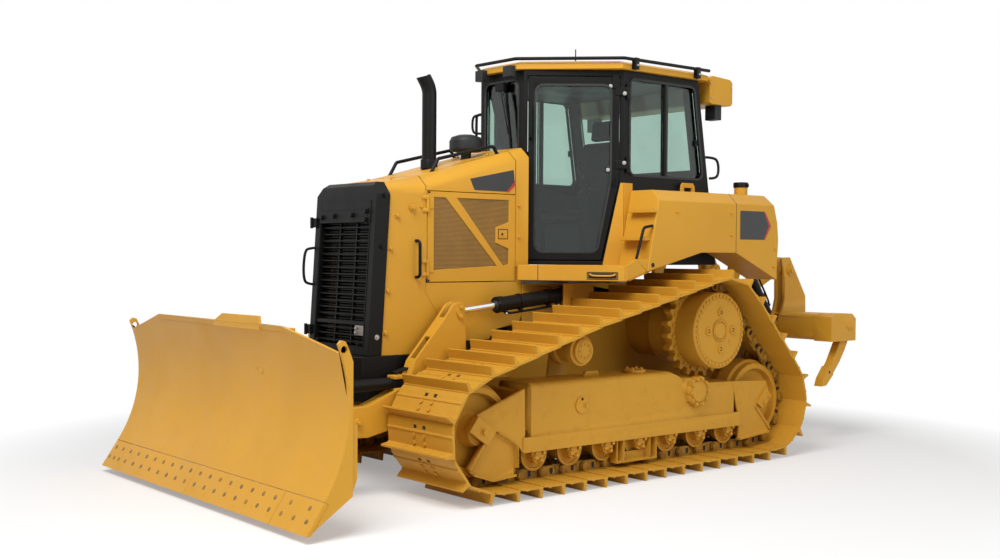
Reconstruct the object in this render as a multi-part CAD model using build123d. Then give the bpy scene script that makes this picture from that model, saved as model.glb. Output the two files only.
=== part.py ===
from build123d import *
import os
from math import sin, cos, atan2, asin, hypot, pi

# A crawler bulldozer with a push frame inside its tracks, a power-angle-tilt blade and a rear ripper.
# Millimetres. +X points forward, +Y to the machine's left, +Z up; the ground is Z = 0.

# ---- running gear -----------------------------------------------------------------------------
TRACK_GAUGE = 1880.0            # between the middles of the two tracks
SHOE_WIDTH = 710.0
SHOE_COUNT = 41
PIN_TO_TIP = 115.0              # link pin to the tip of the grouser
PLATE_OUTER = 50.0              # link pin to the outside of the shoe plate
PLATE_INNER = 36.0
RAIL_DEPTH = 40.0               # link pin to the rail that the rollers run on
RAIL_OFFSET = 88.0              # chain middle to the middle of one rail
RAIL_THICK = 46.0
IDLER_R = 300.0
IDLER_Z = PIN_TO_TIP + RAIL_DEPTH + IDLER_R
FRONT_IDLER_X = 1440.0
REAR_IDLER_X = -1475.0
CARRIER_R = 110.0
CARRIER_X, CARRIER_Z = 470.0, 945.0
SPROCKET_PIN_R = 368.0
SPROCKET_X, SPROCKET_Z = -890.0, 1047.0
SPROCKET_TEETH = 23
ROLLER_R = 100.0
ROLLER_COUNT = 7
ROLLER_FIRST_X = 925.0
ROLLER_STEP = 336.0
RUN_GAP = 0.3                   # between a rail and the wheel under it
TRACK_Y = TRACK_GAUGE / 2

# ---- track frame: (x, z) outlines; the ways out are measured across from the track's middle ----
FRAME_IN, FRAME_OUT = -170.0, 178.0
FRAME_BOX = ((1003.0, 382.0), (1003.0, 750.0), (-400.0, 750.0), (-520.0, 694.0), (-700.0, 688.0), (-800.0, 640.0),
             (-1141.0, 632.0), (-1141.0, 382.0))
FRAME_ROUND = 44.0              # radius of the box's folded top edges
SKIRT = ((1085.0, 284.0), (1085.0, 386.0), (-1205.0, 386.0), (-1205.0, 278.0))
SKIRT_IN, SKIRT_OUT = 171.0, 196.0
FRONT_GUARD = ((1485.0, 572.0), (1069.0, 716.0), (1062.0, 412.0), (1081.0, 285.0), (1130.0, 351.0), (1303.0, 446.0),
               (1384.0, 485.0))
FRONT_GUSSET = ((1303.0, 446.0), (1130.0, 351.0), (1128.0, 192.0), (1148.0, 134.0), (1352.0, 120.0),
                (1514.0, 175.0), (1552.0, 223.0), (1393.0, 428.0))
REAR_GUARD = ((-1120.0, 633.0), (-1537.0, 614.0), (-1597.0, 482.0), (-1411.0, 414.0), (-1560.0, 262.0),
              (-1574.0, 191.0), (-1204.0, 162.0), (-1190.0, 386.0))
IDLER_BLOCK = ((1486.0, 566.0), (1331.0, 456.0), (1408.0, 369.0), (1558.0, 472.0))
PLATE_START, PLATE_END = 156.0, 184.0    # the guards' plates, outside the idler's hub
RIM_START, RIM_END = 151.0, 200.0        # the rims and blocks that stand out from them
ROLLER_GUARD_X, ROLLER_GUARD_Z = (-236.0, 190.0), (118.0, 287.0)
PIVOT_X, PIVOT_Z, PIVOT_R = -684.0, 584.0, 112.0

# ---- main frame -------------------------------------------------------------------------------
HULL_HALF = 385.0
HULL_BOTTOM = 400.0
HULL_TOP = 1405.0
HULL_REAR_X = -1790.0
RAIL_FRAME_TOP = 800.0
NOSE_FRONT_X = 1965.0

# ---- hood and guard ---------------------------------------------------------------------------
HOOD_HALF = 375.0
HOOD_TOP_HALF = 285.0           # half width of the flat top between the two chamfers
HOOD_REAR_X = 392.0
HOOD_FRONT_X = 1672.0
HOOD_SIDE_Z = ((1672.0, 2052.0), (1375.0, 2105.0), (392.0, 2366.0))   # x, height of the side
HOOD_CROWN = 76.0               # rise of the chamfer
HOOD_SKIN = 10.0
PANEL_BOTTOM = 925.0
ENGINE_DOOR = (524.0, 1340.0, 1430.0, 2074.0)     # rear x, front x, bottom z, top z
DOOR_GAP = 6.0
# lower edge of the side panels, from the platform forward; and the seam between panel and cheek
LOWER_EDGE = ((456.0, 1535.0), (456.0, 1165.0), (486.0, 1112.0), (700.0, 1075.0), (775.0, 1000.0), (1180.0, 1000.0),
              (1300.0, 960.0), (1420.0, 927.0))
PANEL_SEAM = ((1350.0, 1426.0), (1350.0, 1352.0), (1099.0, 1000.0), (1106.0, 1000.0), (1356.0, 1350.0), (1356.0, 1426.0))
DOOR_HINGE_X, DOOR_HINGE_Y = 1346.0, 387.0
DOOR_HINGE_Z = (1530.0, 1985.0)
DOOR_KNUCKLE_R = 10.4            # clear of the door's front corner
GUARD_HALF = 392.0
GUARD_LEAN = ((1850.0, 925.0), (1776.0, 2100.0))  # front face, x and z at foot and head
GUARD_DEPTH = 112.0

# ---- cab --------------------------------------------------------------------------------------
CAB_FLOOR = 1552.0
CAB_TOP = 3045.0
CAB_FRONT_X = 345.0
CAB_FRONT_HALF = 262.0
CAB_CORNER_X = -240.0           # where the slanted door wall meets the side wall
CAB_HALF = 762.0
CAB_REAR_TOP_X = -1090.0
CAB_REAR_FOOT_X = -1330.0
CAB_WALL = 50.0
CAB_HINGE_X, CAB_HINGE_Y = CAB_CORNER_X - 22.0, CAB_HALF + 20.0
CAB_HINGE_Z = (2320.0, 2880.0)
GLASS_THICK = 8.0
ROOF_TOP = 3112.0
ROOF_OVERHANG = 38.0            # beyond the cab's sides

# ---- tanks and steps --------------------------------------------------------------------------
FENDER_IN = CAB_HALF + 6.0
FENDER_OUT = FENDER_IN + 312.0
FENDER_TOP = 2125.0
FENDER_CHAMFER = 82.0
SKIRT_TOP = 1600.0               # where the grab handle stands on the platform's skirt
SEAT_GAP = 0.3                   # between a handle's foot and what carries it

# ---- push frame and blade ---------------------------------------------------------------------
TRUNNION_X, TRUNNION_Z = 755.0, 640.0
ARM_IN, ARM_OUT = 446.0, 560.0
TOWER_PIN_X, TOWER_PIN_Z = 1185.0, 1222.0
BALL_X, BALL_Z = 2500.0, 500.0
BLADE_HALF = 1460.0
BLADE_TIP_X, BLADE_TIP_Z = 2972.0, 46.0
BLADE_HEEL_X, BLADE_HEEL_Z = 2850.0, 226.0        # where the cutting edge meets the mouldboard
BLADE_HOLLOW_X, BLADE_HOLLOW_Z = 2700.0, 600.0
BLADE_TOP_X, BLADE_TOP_Z = 2797.0, 1190.0
BLADE_CORNER_Z = 1052.0
BLADE_FLAT_HALF = 860.0
EDGE_THICK = 30.0
EDGE_SEAT = 0.3                  # between the cutting edge and the end plates
EAR_X, EAR_Z, EAR_R = 2722.0, 1082.0, 21.0        # lifting hole in each end plate

# ---- cylinders --------------------------------------------------------------------------------
LIFT_BASE_X, LIFT_BASE_Z = 105.0, 1330.0
LIFT_Y = 503.0
LIFT_BARREL = 712.0              # from the base pin to the end of the barrel
LIFT_BARREL_R, LIFT_ROD_R = 54.0, 25.0
LIFT_PIN_R, LIFT_EYE_R = 22.0, 35.0    # the eye is larger, because the opened linkage drifts
ANGLE_BASE_X, ANGLE_EYE_X = 1690.0, 2545.0
ANGLE_Y, ANGLE_Z = 503.0, 745.0
TILT_X, TILT_Z = 2638.0, 900.0
TILT_BASE_Y, TILT_EYE_Y = -150.0, 450.0

# ---- ripper -----------------------------------------------------------------------------------
RIP_PIVOT_X, RIP_PIVOT_Z = -1900.0, 640.0          # lower arms on the hull
RIP_LOW_X, RIP_LOW_Z = -2635.0, 985.0             # lower arms on the beam's towers
RIP_TOP_DX, RIP_TOP_DZ = -30.0, 515.0             # from a lower pin to the upper one
RIP_BEAM = (-2890.0, -2546.0, 888.0, 1117.0)      # x and z of the beam's box
RIP_BEAM_HALF = 1050.0
RIP_CYL_BASE_X, RIP_CYL_BASE_Z = -1990.0, 1590.0
RIP_CYL_EYE_X, RIP_CYL_EYE_Z = -2390.0, 1020.0
RIP_ARM_IN, RIP_ARM_OUT = 420.0, 470.0
RIP_CYL_Y = 520.0
RIP_SHANK_Y = (-960.0, 0.0, 960.0)


# ---- shape helpers ----------------------------------------------------------------------------
def block(x0, x1, y0, y1, z0, z1):
    """A plain block between two corners."""
    middle = ((x0 + x1) / 2, (y0 + y1) / 2, (z0 + z1) / 2)
    return Pos(*middle) * Box(abs(x1 - x0), abs(y1 - y0), abs(z1 - z0))


def side_plate(points, y0, y1):
    """A plate with an (x, z) outline, from y0 to y1."""
    outline = Polyline(*[(x, y0, z) for x, z in points], close=True)
    return extrude(make_face(outline), amount=y1 - y0, dir=(0, 1, 0))


def plan_plate(points, z0, z1):
    """A plate with an (x, y) outline, from z0 to z1."""
    outline = Polyline(*[(x, y, z0) for x, y in points], close=True)
    return extrude(make_face(outline), amount=z1 - z0, dir=(0, 0, 1))


def front_plate(points, x0, x1):
    """A plate with a (y, z) outline, from x0 to x1."""
    outline = Polyline(*[(x0, y, z) for y, z in points], close=True)
    return extrude(make_face(outline), amount=x1 - x0, dir=(1, 0, 0))


def rod_between(start, end, radius):
    """A round bar from one point to another."""
    a, b = Vector(*start), Vector(*end)
    place = Plane(origin=a, z_dir=(b - a).normalized())
    return place * Cylinder(radius, (b - a).length, align=(Align.CENTER, Align.CENTER, Align.MIN))


def drum_y(x, z, radius, y0, y1):
    """A round drum whose axis is along Y."""
    return rod_between((x, min(y0, y1), z), (x, max(y0, y1), z), radius)


def bar_along(points, radius, bend):
    """A bent round bar through the given points."""
    path = FilletPolyline(*points, radius=bend)
    section = Plane(origin=path @ 0, z_dir=path % 0) * Circle(radius)
    return sweep(section, path=path)


def turned_y(x, z, profile, y_zero=0.0):
    """A wheel turned about a Y axis from its (y, radius) profile."""
    outline = [(0.0, profile[0][0])] + [(r, y) for y, r in profile] + [(0.0, profile[-1][0])]
    face = make_face(Polyline(*[(r, 0, y) for r, y in outline], close=True))
    wheel = revolve(face, axis=Axis.Z, revolution_arc=360)
    return Pos(x, y_zero, z) * Rot(-90, 0, 0) * wheel


def other_side(shape):
    """The same shape on the machine's right."""
    return mirror(shape, about=Plane.XZ)


def both_sides(shapes):
    """Shapes of the left side followed by their right-hand twins."""
    return list(shapes) + [other_side(s) for s in shapes]


def one(shapes):
    """One compound from loose solids."""
    return Compound(children=[s for shape in shapes for s in shape.solids()])


# ---- track ------------------------------------------------------------------------------------
def track_wheels():
    """The wheels inside the track, in running order: x, z, radius of the pin line."""
    idler_pins = IDLER_R + RAIL_DEPTH
    return ((FRONT_IDLER_X, IDLER_Z, idler_pins),
            (CARRIER_X, CARRIER_Z, CARRIER_R + RAIL_DEPTH),
            (SPROCKET_X, SPROCKET_Z, SPROCKET_PIN_R),
            (REAR_IDLER_X, IDLER_Z, idler_pins))


def track_headings():
    """The heading of the straight run that leaves each wheel."""
    wheels = track_wheels()
    headings = []
    for i, (x0, z0, r0) in enumerate(wheels):
        x1, z1, r1 = wheels[(i + 1) % len(wheels)]
        headings.append(atan2(z1 - z0, x1 - x0) - asin((r1 - r0) / hypot(x1 - x0, z1 - z0)))
    return headings


def pin_places():
    """The (x, z) places of the link pins, evenly along the pin line."""
    wheels = track_wheels()
    headings = track_headings()
    pieces = []                              # length, then a function of the way along
    for i, (x, z, r) in enumerate(wheels):
        arrive, leave = headings[i - 1], headings[i]
        turn = (leave - arrive) % (2 * pi)
        pieces.append((r * turn, lambda s, x=x, z=z, r=r, a=arrive:
                       (x + r * cos(a - pi / 2 + s / r), z + r * sin(a - pi / 2 + s / r))))
        x1, z1, r1 = wheels[(i + 1) % len(wheels)]
        run = (hypot(x1 - x, z1 - z) ** 2 - (r1 - r) ** 2) ** 0.5
        sx, sz = x + r * sin(leave), z - r * cos(leave)
        pieces.append((run, lambda s, sx=sx, sz=sz, a=leave: (sx + s * cos(a), sz + s * sin(a))))
    total = sum(length for length, _ in pieces)
    places = []
    for k in range(SHOE_COUNT):
        s = k * total / SHOE_COUNT
        for length, at in pieces:
            if s <= length:
                places.append(at(s))
                break
            s -= length
    return places


def make_track():
    """The left track: shoe plates with their grousers, and the two chain rails under them."""
    pins = pin_places()
    outer, inner = [], []
    grouser = ((14.0, PLATE_OUTER), (20.0, PIN_TO_TIP), (34.0, PIN_TO_TIP), (44.0, PLATE_OUTER))
    for k, (px, pz) in enumerate(pins):
        qx, qz = pins[(k + 1) % SHOE_COUNT]
        pitch = hypot(qx - px, qz - pz)
        tx, tz = (qx - px) / pitch, (qz - pz) / pitch
        ox, oz = tz, -tx                     # away from the inside of the loop
        for along, away in grouser + ((pitch - 4.0, PLATE_OUTER), (pitch - 2.0, PLATE_INNER + 6)):
            outer.append((px + tx * along + ox * away, pz + tz * along + oz * away))
        inner.append((px + tx * pitch / 2 + ox * PLATE_INNER, pz + tz * pitch / 2 + oz * PLATE_INNER))
    y0, y1 = TRACK_Y - SHOE_WIDTH / 2, TRACK_Y + SHOE_WIDTH / 2
    shoes = side_plate(outer, y0, y1) - side_plate(inner, y0 - 1, y1 + 1)
    shapes = [shoes]
    for side in (-1, 1):
        middle = TRACK_Y + side * RAIL_OFFSET
        band = chain_band(-RAIL_DEPTH, PLATE_INNER + 2, middle - RAIL_THICK / 2, middle + RAIL_THICK / 2)
        shapes.append(band)
    track = shapes[0]
    for band in shapes[1:]:
        track = track + band
    return track


def loop_face(offset, y):
    """The area inside the pin line moved outwards by offset, as a face at y."""
    wheels = track_wheels()
    headings = track_headings()
    edges = []
    for i, (x, z, r) in enumerate(wheels):
        arrive, leave = headings[i - 1], headings[i]
        turn = (leave - arrive) % (2 * pi)
        rr = r + offset
        at = lambda a: (x + rr * cos(a - pi / 2), y, z + rr * sin(a - pi / 2))
        edges.append(ThreePointArc(at(arrive), at(arrive + turn / 2), at(arrive + turn)))
    count = len(edges)
    runs = [Line(edges[i] @ 1, edges[(i + 1) % count] @ 0) for i in range(count)]
    ordered = [e for pair in zip(edges, runs) for e in pair]
    return make_face(ordered)


def chain_band(inside, outside, y0, y1):
    """One chain rail, as a smooth band along the pin line."""
    ring = loop_face(outside, y0) - loop_face(inside, y0)
    return extrude(ring, amount=y1 - y0, dir=(0, 1, 0))


def idler(x):
    """An idler wheel: a centre flange between two treads, recessed webs and a hub."""
    tread = IDLER_R - RUN_GAP
    half = ((58, tread + 26), (62, tread), (112, tread), (118, tread - 8), (118, tread - 44), (66, tread - 56),
            (60, 118), (112, 96), (150, 90), (150, 60))
    profile = [(-y, r) for y, r in reversed(half)] + list(half)
    return turned_y(x, IDLER_Z, profile, TRACK_Y)


def bottom_roller(x):
    """A double-flanged bottom roller with its shaft and end collars."""
    tread = ROLLER_R - RUN_GAP
    z = PIN_TO_TIP + RAIL_DEPTH + ROLLER_R
    half = ((58, 84), (64, tread), (112, tread), (114, 118), (122, 118), (122, 102), (106, 96), (106, 66), (132, 60),
            (165, 60), (165, 38))
    profile = [(-y, r) for y, r in reversed(half)] + list(half)
    return turned_y(x, z, profile, TRACK_Y)


def carrier_roller():
    """The carrier roller that holds up the top run, with its end cap outside."""
    tread = CARRIER_R - RUN_GAP
    profile = ((-139.7, 50), (-139.7, 60), (-112, 60), (-112, tread), (-62, tread), (-58, 88), (58, 88), (62, tread),
               (112, tread), (114, 92), (140, 88), (148, 70), (148, 30))
    return turned_y(CARRIER_X, CARRIER_Z, profile, TRACK_Y)


def final_drive():
    """A sprocket ring with its teeth, on the drum-shaped final drive housing."""
    root, tip = SPROCKET_PIN_R - 34, SPROCKET_PIN_R + 8
    outline = []
    for k in range(SPROCKET_TEETH):
        for share, r in ((0.0, root), (0.30, root), (0.46, tip), (0.72, tip), (0.88, root)):
            a = 2 * pi * (k + share) / SPROCKET_TEETH
            outline.append((SPROCKET_X + r * cos(a), SPROCKET_Z + r * sin(a)))
    ring = side_plate(outline, TRACK_Y - 36, TRACK_Y + 36)
    hull = HULL_HALF - TRACK_Y              # the hull's side, from the track's middle
    # y from the track's middle, radius
    housing = ((hull, 150), (hull, 235), (hull + 255, 235), (hull + 305, 290), (-40, 290), (-40, 296), (226, 296),
               (236, 286), (236, 250), (242, 246), (242, 96), (236, 92), (236, 66), (248, 62), (248, 30))
    return ring + turned_y(SPROCKET_X, SPROCKET_Z, housing, TRACK_Y)


def track_plate(points, start, end):
    """A plate of the left track frame, from start to end across from the track's middle."""
    return side_plate(points, TRACK_Y + start, TRACK_Y + end)


def strip(a, b, thick, start, end):
    """A flat bar on edge from one (x, z) place to another, thick to the left of its way."""
    length = hypot(b[0] - a[0], b[1] - a[1])
    nx, nz = -(b[1] - a[1]) / length * thick, (b[0] - a[0]) / length * thick
    return track_plate((a, b, (b[0] + nx, b[1] + nz), (a[0] + nx, a[1] + nz)), start, end)


def track_frame():
    """The left track frame: a folded box, skirts beside the rollers, and the guards that hold the idlers."""
    box = track_plate(FRAME_BOX, FRAME_IN, FRAME_OUT)
    top = max(z for x, z in FRAME_BOX)
    box = fillet([e for e in box.edges().filter_by(Axis.X) if e.center().Z > top - 1], FRAME_ROUND)
    frame = box
    for x in (FRONT_IDLER_X, REAR_IDLER_X):
        frame = frame - drum_y(x, IDLER_Z, IDLER_R + 40, TRACK_Y - 156, TRACK_Y + 156)
    frame = frame - drum_y(SPROCKET_X, SPROCKET_Z, SPROCKET_PIN_R + 22, TRACK_Y - 52, TRACK_Y + 52)
    frame = frame + track_plate(SKIRT, SKIRT_IN, SKIRT_OUT) + track_plate(SKIRT, -SKIRT_OUT + 6, FRAME_IN + 4)
    # the sliding yoke of the front idler
    slider = track_plate(((1000, 430), (1000, 690), (1064, 690), (1064, 430)), -130, 130)
    yoke = track_plate(((1063, 412), (1067, 712), (1096, 702), (1098, 412)), -PLATE_END, PLATE_END)
    frame = frame + slider + yoke
    for outline in (FRONT_GUARD, REAR_GUARD):
        frame = frame + track_plate(outline, PLATE_START, PLATE_END) + track_plate(outline, -PLATE_END, -PLATE_START)
    frame = frame + track_plate(FRONT_GUSSET, RIM_START, RIM_START + 14)
    frame = frame + track_plate(IDLER_BLOCK, RIM_START, RIM_END + 6)
    g = FRONT_GUSSET
    rims = ((g[0], g[1], 12), (g[1], g[2], 14), (g[3], g[4], 14), (g[4], g[5], 14), (g[6], g[7], 22))
    for a, b, thick in rims:
        frame = frame + strip(a, b, thick, RIM_START, RIM_END)
    r = REAR_GUARD
    frame = frame + strip(r[3], (-1588, 227), 16, RIM_START, RIM_END) + strip(r[5], r[6], 14, RIM_START, RIM_END)
    # rock guard by the middle rollers
    (x0, x1), (z0, z1) = ROLLER_GUARD_X, ROLLER_GUARD_Z
    frame = frame + track_plate(((x0, z0), (x0, z0 + 68), (x1, z0 + 68), (x1, z0)), 127, 141)
    frame = frame + track_plate(((x0, z0), (x0, z0 + 13), (x1, z0 + 13), (x1, z0)), 127, SKIRT_OUT)
    for rib in (x0, x0 + 66, x1 - 84, x1 - 14):
        frame = frame + track_plate(((rib, z0), (rib, z1), (rib + 14, z1), (rib + 14, z0)), 127, SKIRT_OUT - 4)
    frame = frame + drum_y(PIVOT_X, PIVOT_Z, PIVOT_R, TRACK_Y + FRAME_OUT - 2, TRACK_Y + FRAME_OUT + 30)
    frame = frame + drum_y(PIVOT_X, PIVOT_Z, PIVOT_R - 34, TRACK_Y + FRAME_OUT, TRACK_Y + FRAME_OUT + 40)
    lug = track_plate(((262, 748), (274, 790), (390, 790), (408, 748)), 52, 82)
    post = track_plate(((CARRIER_X - 90, 740), (CARRIER_X - 55, 990), (CARRIER_X + 55, 990), (CARRIER_X + 90, 740)),
                       -168, -140)
    return frame + lug + post


# ---- chassis ----------------------------------------------------------------------------------
def main_frame():
    """The steel hull: a deep rear case, and two rails with a belly plate under the engine."""
    hull = side_plate(((HULL_REAR_X, 620), (HULL_REAR_X, 1180), (-1560, HULL_TOP), (450, HULL_TOP),
                       (450, HULL_BOTTOM), (-1500, HULL_BOTTOM)), -HULL_HALF, HULL_HALF)
    rail = ((440, 520), (440, 1050), (640, 1040), (880, RAIL_FRAME_TOP), (1640, RAIL_FRAME_TOP), (1640, 560),
            (1400, 520))
    for side in (-1, 1):
        hull = hull + side_plate(rail, *sorted((side * 250, side * HULL_HALF)))
        hull = hull + drum_y(TRUNNION_X, TRUNNION_Z, 62, side * 300, side * (ARM_OUT - 4))
    belly = block(440, 1600, -252, 252, 470, 500)
    cross = block(1560, 1640, -252, 252, 560, RAIL_FRAME_TOP)
    bracket = lift_bracket()
    return hull + belly + cross + bracket + other_side(bracket)


def pivot_shaft():
    """The cross shaft and the equalizer bar that carry the two track frames."""
    stubs = [drum_y(-520, 560, 85, s * (HULL_HALF + 0.2), s * (TRACK_Y - 170.2)) for s in (-1, 1)]
    beam = block(1180, 1300, -(TRACK_Y - 190.2), TRACK_Y - 190.2, 318, 378)
    saddle = block(1190, 1290, -110, 110, 377, 469.8)
    return stubs + [beam + saddle]


def nose():
    """The black beams under the radiator guard, with their chamfered front."""
    half, inset = 396, 320
    plan = ((1490, -half), (1900, -half), (NOSE_FRONT_X, -inset), (NOSE_FRONT_X, inset), (1900, half), (1490, half))
    upper = plan_plate(plan, RAIL_FRAME_TOP + 0.3, PANEL_BOTTOM - 0.3)
    apron = plan_plate(((1648, -half),) + plan[1:5] + ((1648, half),), 770, RAIL_FRAME_TOP + 1)
    lower = plan_plate(((1648, -380), (1840, -380), (1900, -300), (1900, 300), (1840, 380), (1648, 380)), 610, 700)
    web = block(1648, 1800, -250, 250, 699, 771)
    return upper + apron + lower + web


def engine():
    """The engine, as one plain block with its sump and fan end."""
    block_part = block(620, 1400, -250, 250, 900, 1780)
    sump = block(700, 1300, -180, 180, 640, 901)
    fan = rod_between((1399, 0, 1480), (1470, 0, 1480), 300)
    return block_part + sump + fan


def radiator():
    """The cooling pack behind the grille."""
    return block(1560, 1640, -330, 330, PANEL_BOTTOM, 2010)


def hood_side_z(x):
    """Height of the hood's side edge at x."""
    for (xa, za), (xb, zb) in zip(HOOD_SIDE_Z, HOOD_SIDE_Z[1:]):
        if xb <= x <= xa:
            return za + (zb - za) * (xa - x) / (xa - xb)
    return HOOD_SIDE_Z[0][1] if x > HOOD_SIDE_Z[0][0] else HOOD_SIDE_Z[-1][1]


def hood_section(x, shrink, foot):
    """The hood's cross-section at x: straight sides, two chamfers and a flat top."""
    side = hood_side_z(x)
    half, top_half = HOOD_HALF - shrink, HOOD_TOP_HALF - shrink * 0.4
    crown = side + HOOD_CROWN - shrink
    side = side - shrink * 0.4
    return [(x, -half, foot), (x, half, foot), (x, half, side), (x, top_half, crown),
            (x, -top_half, crown), (x, -half, side)]


def hood_solid(shrink, foot, x_front, x_rear):
    """The hood's full shape over its length, made in straight spans between its break lines."""
    stops = [x_front] + [x for x, _ in HOOD_SIDE_Z if x_rear < x < x_front] + [x_rear]
    spans = []
    for a, b in zip(stops, stops[1:]):
        faces = [make_face(Polyline(*hood_section(x, shrink, foot), close=True)) for x in (a, b)]
        spans.append(loft(faces, ruled=True))
    solid = spans[0]
    for s in spans[1:]:
        solid = solid + s
    return solid


def guard_x(z, back=0.0):
    """The x of the guard's leaning front face at height z, moved back by a depth."""
    (x0, z0), (x1, z1) = GUARD_LEAN
    return x0 + (x1 - x0) * (z - z0) / (z1 - z0) - back


def hood():
    """The hood: side panels, chamfered top and the lower cheeks, open where the two doors close."""
    outer = hood_solid(0.0, PANEL_BOTTOM, 1760.0, HOOD_REAR_X)
    inner = hood_solid(HOOD_SKIN, PANEL_BOTTOM - 5, 1765.0, HOOD_REAR_X - 5)
    shell = outer - inner
    # trim ahead of the guard's back, and below the cheeks' slanted edges
    front = guard_x(PANEL_BOTTOM, GUARD_DEPTH + 2), guard_x(2300, GUARD_DEPTH + 2)
    shell = shell - side_plate(((front[0], PANEL_BOTTOM - 20), (front[1], 2300), (2000, 2300),
                                (2000, PANEL_BOTTOM - 20)), -500, 500)
    rear_x, front_x, low, high = ENGINE_DOOR
    shell = shell - side_plate(LOWER_EDGE + ((1420, 800), (300, 800), (300, 1535)), -500, 500)
    shell = shell - block(rear_x - DOOR_GAP, front_x + DOOR_GAP, -500, 500, low - DOOR_GAP, high + DOOR_GAP)
    rear = make_face(Polyline(*hood_section(HOOD_REAR_X + 12, 6.0, 1536), close=True))
    bulkhead = extrude(rear, amount=10, dir=(-1, 0, 0))
    shell = shell + bulkhead
    shell = shell - rod_between((1052, 0, 2150), (1052, 0, 2400), 64.3)
    shell = shell - rod_between((702, 0, 2250), (702, 0, 2500), 40.3)
    seam = side_plate(PANEL_SEAM, HOOD_HALF - 4, HOOD_HALF + 4)
    shell = shell - seam - other_side(seam)
    for z in DOOR_HINGE_Z:
        fixed = door_hinge_fixed(z)
        shell = shell + fixed + other_side(fixed)
    return shell


def guard():
    """The radiator guard: a leaning frame with bevelled corners round the grille."""
    foot, head = PANEL_BOTTOM, 2128.0
    side = ((guard_x(foot), foot), (guard_x(2040), 2040), (guard_x(2100) - 8, 2100), (guard_x(head) - 42, head),
            (guard_x(head, GUARD_DEPTH), head), (guard_x(foot, GUARD_DEPTH), foot))
    body = side_plate(side, -GUARD_HALF, GUARD_HALF)
    for s in (-1, 1):
        corner = front_plate(((s * GUARD_HALF, 2040), (s * (GUARD_HALF + 60), 2040), (s * (GUARD_HALF + 60), 2200),
                              (s * (GUARD_HALF - 88), 2200), (s * (GUARD_HALF - 88), head + 1)), 1500, 2000)
        body = body - corner
    window = side_plate(((1600, 985), (1600, 1995), (2000, 1995), (2000, 985)), -318, 318)
    return body - window


def grille():
    """Flat bars across the guard, on two upright bars."""
    bars = None
    depth0, depth1 = 22.0, 40.0
    count = 20
    low, high = 1012.0, 1905.0
    for i in range(count):
        z = low + (high - low) * i / (count - 1)
        bar = side_plate(((guard_x(z - 5, depth1), z - 5), (guard_x(z - 5, depth0), z - 5),
                          (guard_x(z + 5, depth0), z + 5), (guard_x(z + 5, depth1), z + 5)), -317.7, 317.7)
        bars = bar if bars is None else bars + bar
    for y in (-106, 106):
        bars = bars + side_plate(((guard_x(990, 48), 990), (guard_x(990, 36), 990), (guard_x(1990, 36), 1990),
                                  (guard_x(1990, 48), 1990)), y - 8, y + 8)
    plate = side_plate(((guard_x(1925, 34), 1925), (guard_x(1925, 8), 1925), (guard_x(1990, 8), 1990),
                        (guard_x(1990, 34), 1990)), -317.7, 317.7)
    return bars + plate


def door_hinge_fixed(z):
    """The hood's half of one engine-door hinge: two knuckles on a plate, and the pin between them."""
    shape = rod_between((DOOR_HINGE_X, DOOR_HINGE_Y, z - 60), (DOOR_HINGE_X, DOOR_HINGE_Y, z + 60), 6)
    for z0, z1 in ((z - 60, z - 32), (z + 32, z + 60)):
        shape = shape + rod_between((DOOR_HINGE_X, DOOR_HINGE_Y, z0), (DOOR_HINGE_X, DOOR_HINGE_Y, z1), DOOR_KNUCKLE_R)
        shape = shape + block(DOOR_HINGE_X, DOOR_HINGE_X + 46, HOOD_HALF - 3, HOOD_HALF + 9, z0, z1)
    return shape


def door_hinge_moving(z):
    """The door's half of one hinge: a knuckle on a leaf, before its bore is cut."""
    knuckle = rod_between((DOOR_HINGE_X, DOOR_HINGE_Y, z - 31.5), (DOOR_HINGE_X, DOOR_HINGE_Y, z + 31.5),
                          DOOR_KNUCKLE_R)
    leaf = block(DOOR_HINGE_X - 56, DOOR_HINGE_X, HOOD_HALF + 2, HOOD_HALF + 10, z - 31.5, z + 31.5)
    return knuckle + leaf


def engine_door():
    """The left engine door: a frame with two screened openings and a diagonal brace between."""
    rear_x, front_x, low, high = ENGINE_DOOR
    y0, y1 = HOOD_HALF - 26, HOOD_HALF + 3
    door = block(rear_x, front_x, y0, y1, low, high)
    ahead = ((1285, high - 40), (1180, high - 40), (700, low + 112), (1285, low + 84))
    behind = ((1078, high - 40), (586, high - 40), (586, high - 205), (712, high - 245), (712, high - 360),
              (586, high - 405), (586, low + 128), (640, low + 112))
    for outline in (ahead, behind):
        door = door - side_plate(outline, y0 - 1, y1 - 12) - side_plate(outline, y1 - 8, y1 + 1)
    for z in DOOR_HINGE_Z:
        door = door + door_hinge_moving(z)
        door = door - rod_between((DOOR_HINGE_X, DOOR_HINGE_Y, z - 40), (DOOR_HINGE_X, DOOR_HINGE_Y, z + 40), 6.05)
    return door


def exhaust():
    """The exhaust stack with its bent, slant-cut end."""
    path = FilletPolyline((1052, 0, 2262), (1052, 0, 2862), (1150, 0, 3010), radius=170)
    section = Plane(origin=path @ 0, z_dir=path % 0) * Circle(54)
    pipe = sweep(section, path=path)
    bore = sweep(Plane(origin=path @ 0, z_dir=path % 0) * Circle(50), path=path)
    pipe = pipe - bore
    pipe = pipe - side_plate(((1060, 2960), (1240, 2905), (1240, 3100), (1000, 3100)), -100, 100)
    base = Pos(1052, 0, 2262) * Cylinder(64, 70, align=(Align.CENTER, Align.CENTER, Align.MIN))
    return pipe + (base - Pos(1052, 0, 2262) * Cylinder(51, 80, align=(Align.CENTER, Align.CENTER, Align.MIN)))


def pre_cleaner():
    """The mushroom-shaped air inlet on its stem."""
    rise = ((0, 2300), (40, 2300), (40, 2408), (118, 2412), (128, 2430), (128, 2488), (112, 2520), (60, 2538), (0, 2540))
    face = make_face(Polyline(*[(702 + r, 0, z) for r, z in rise], close=True))
    return revolve(face, axis=Axis((702, 0, 0), (0, 0, 1)), revolution_arc=360)


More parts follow.
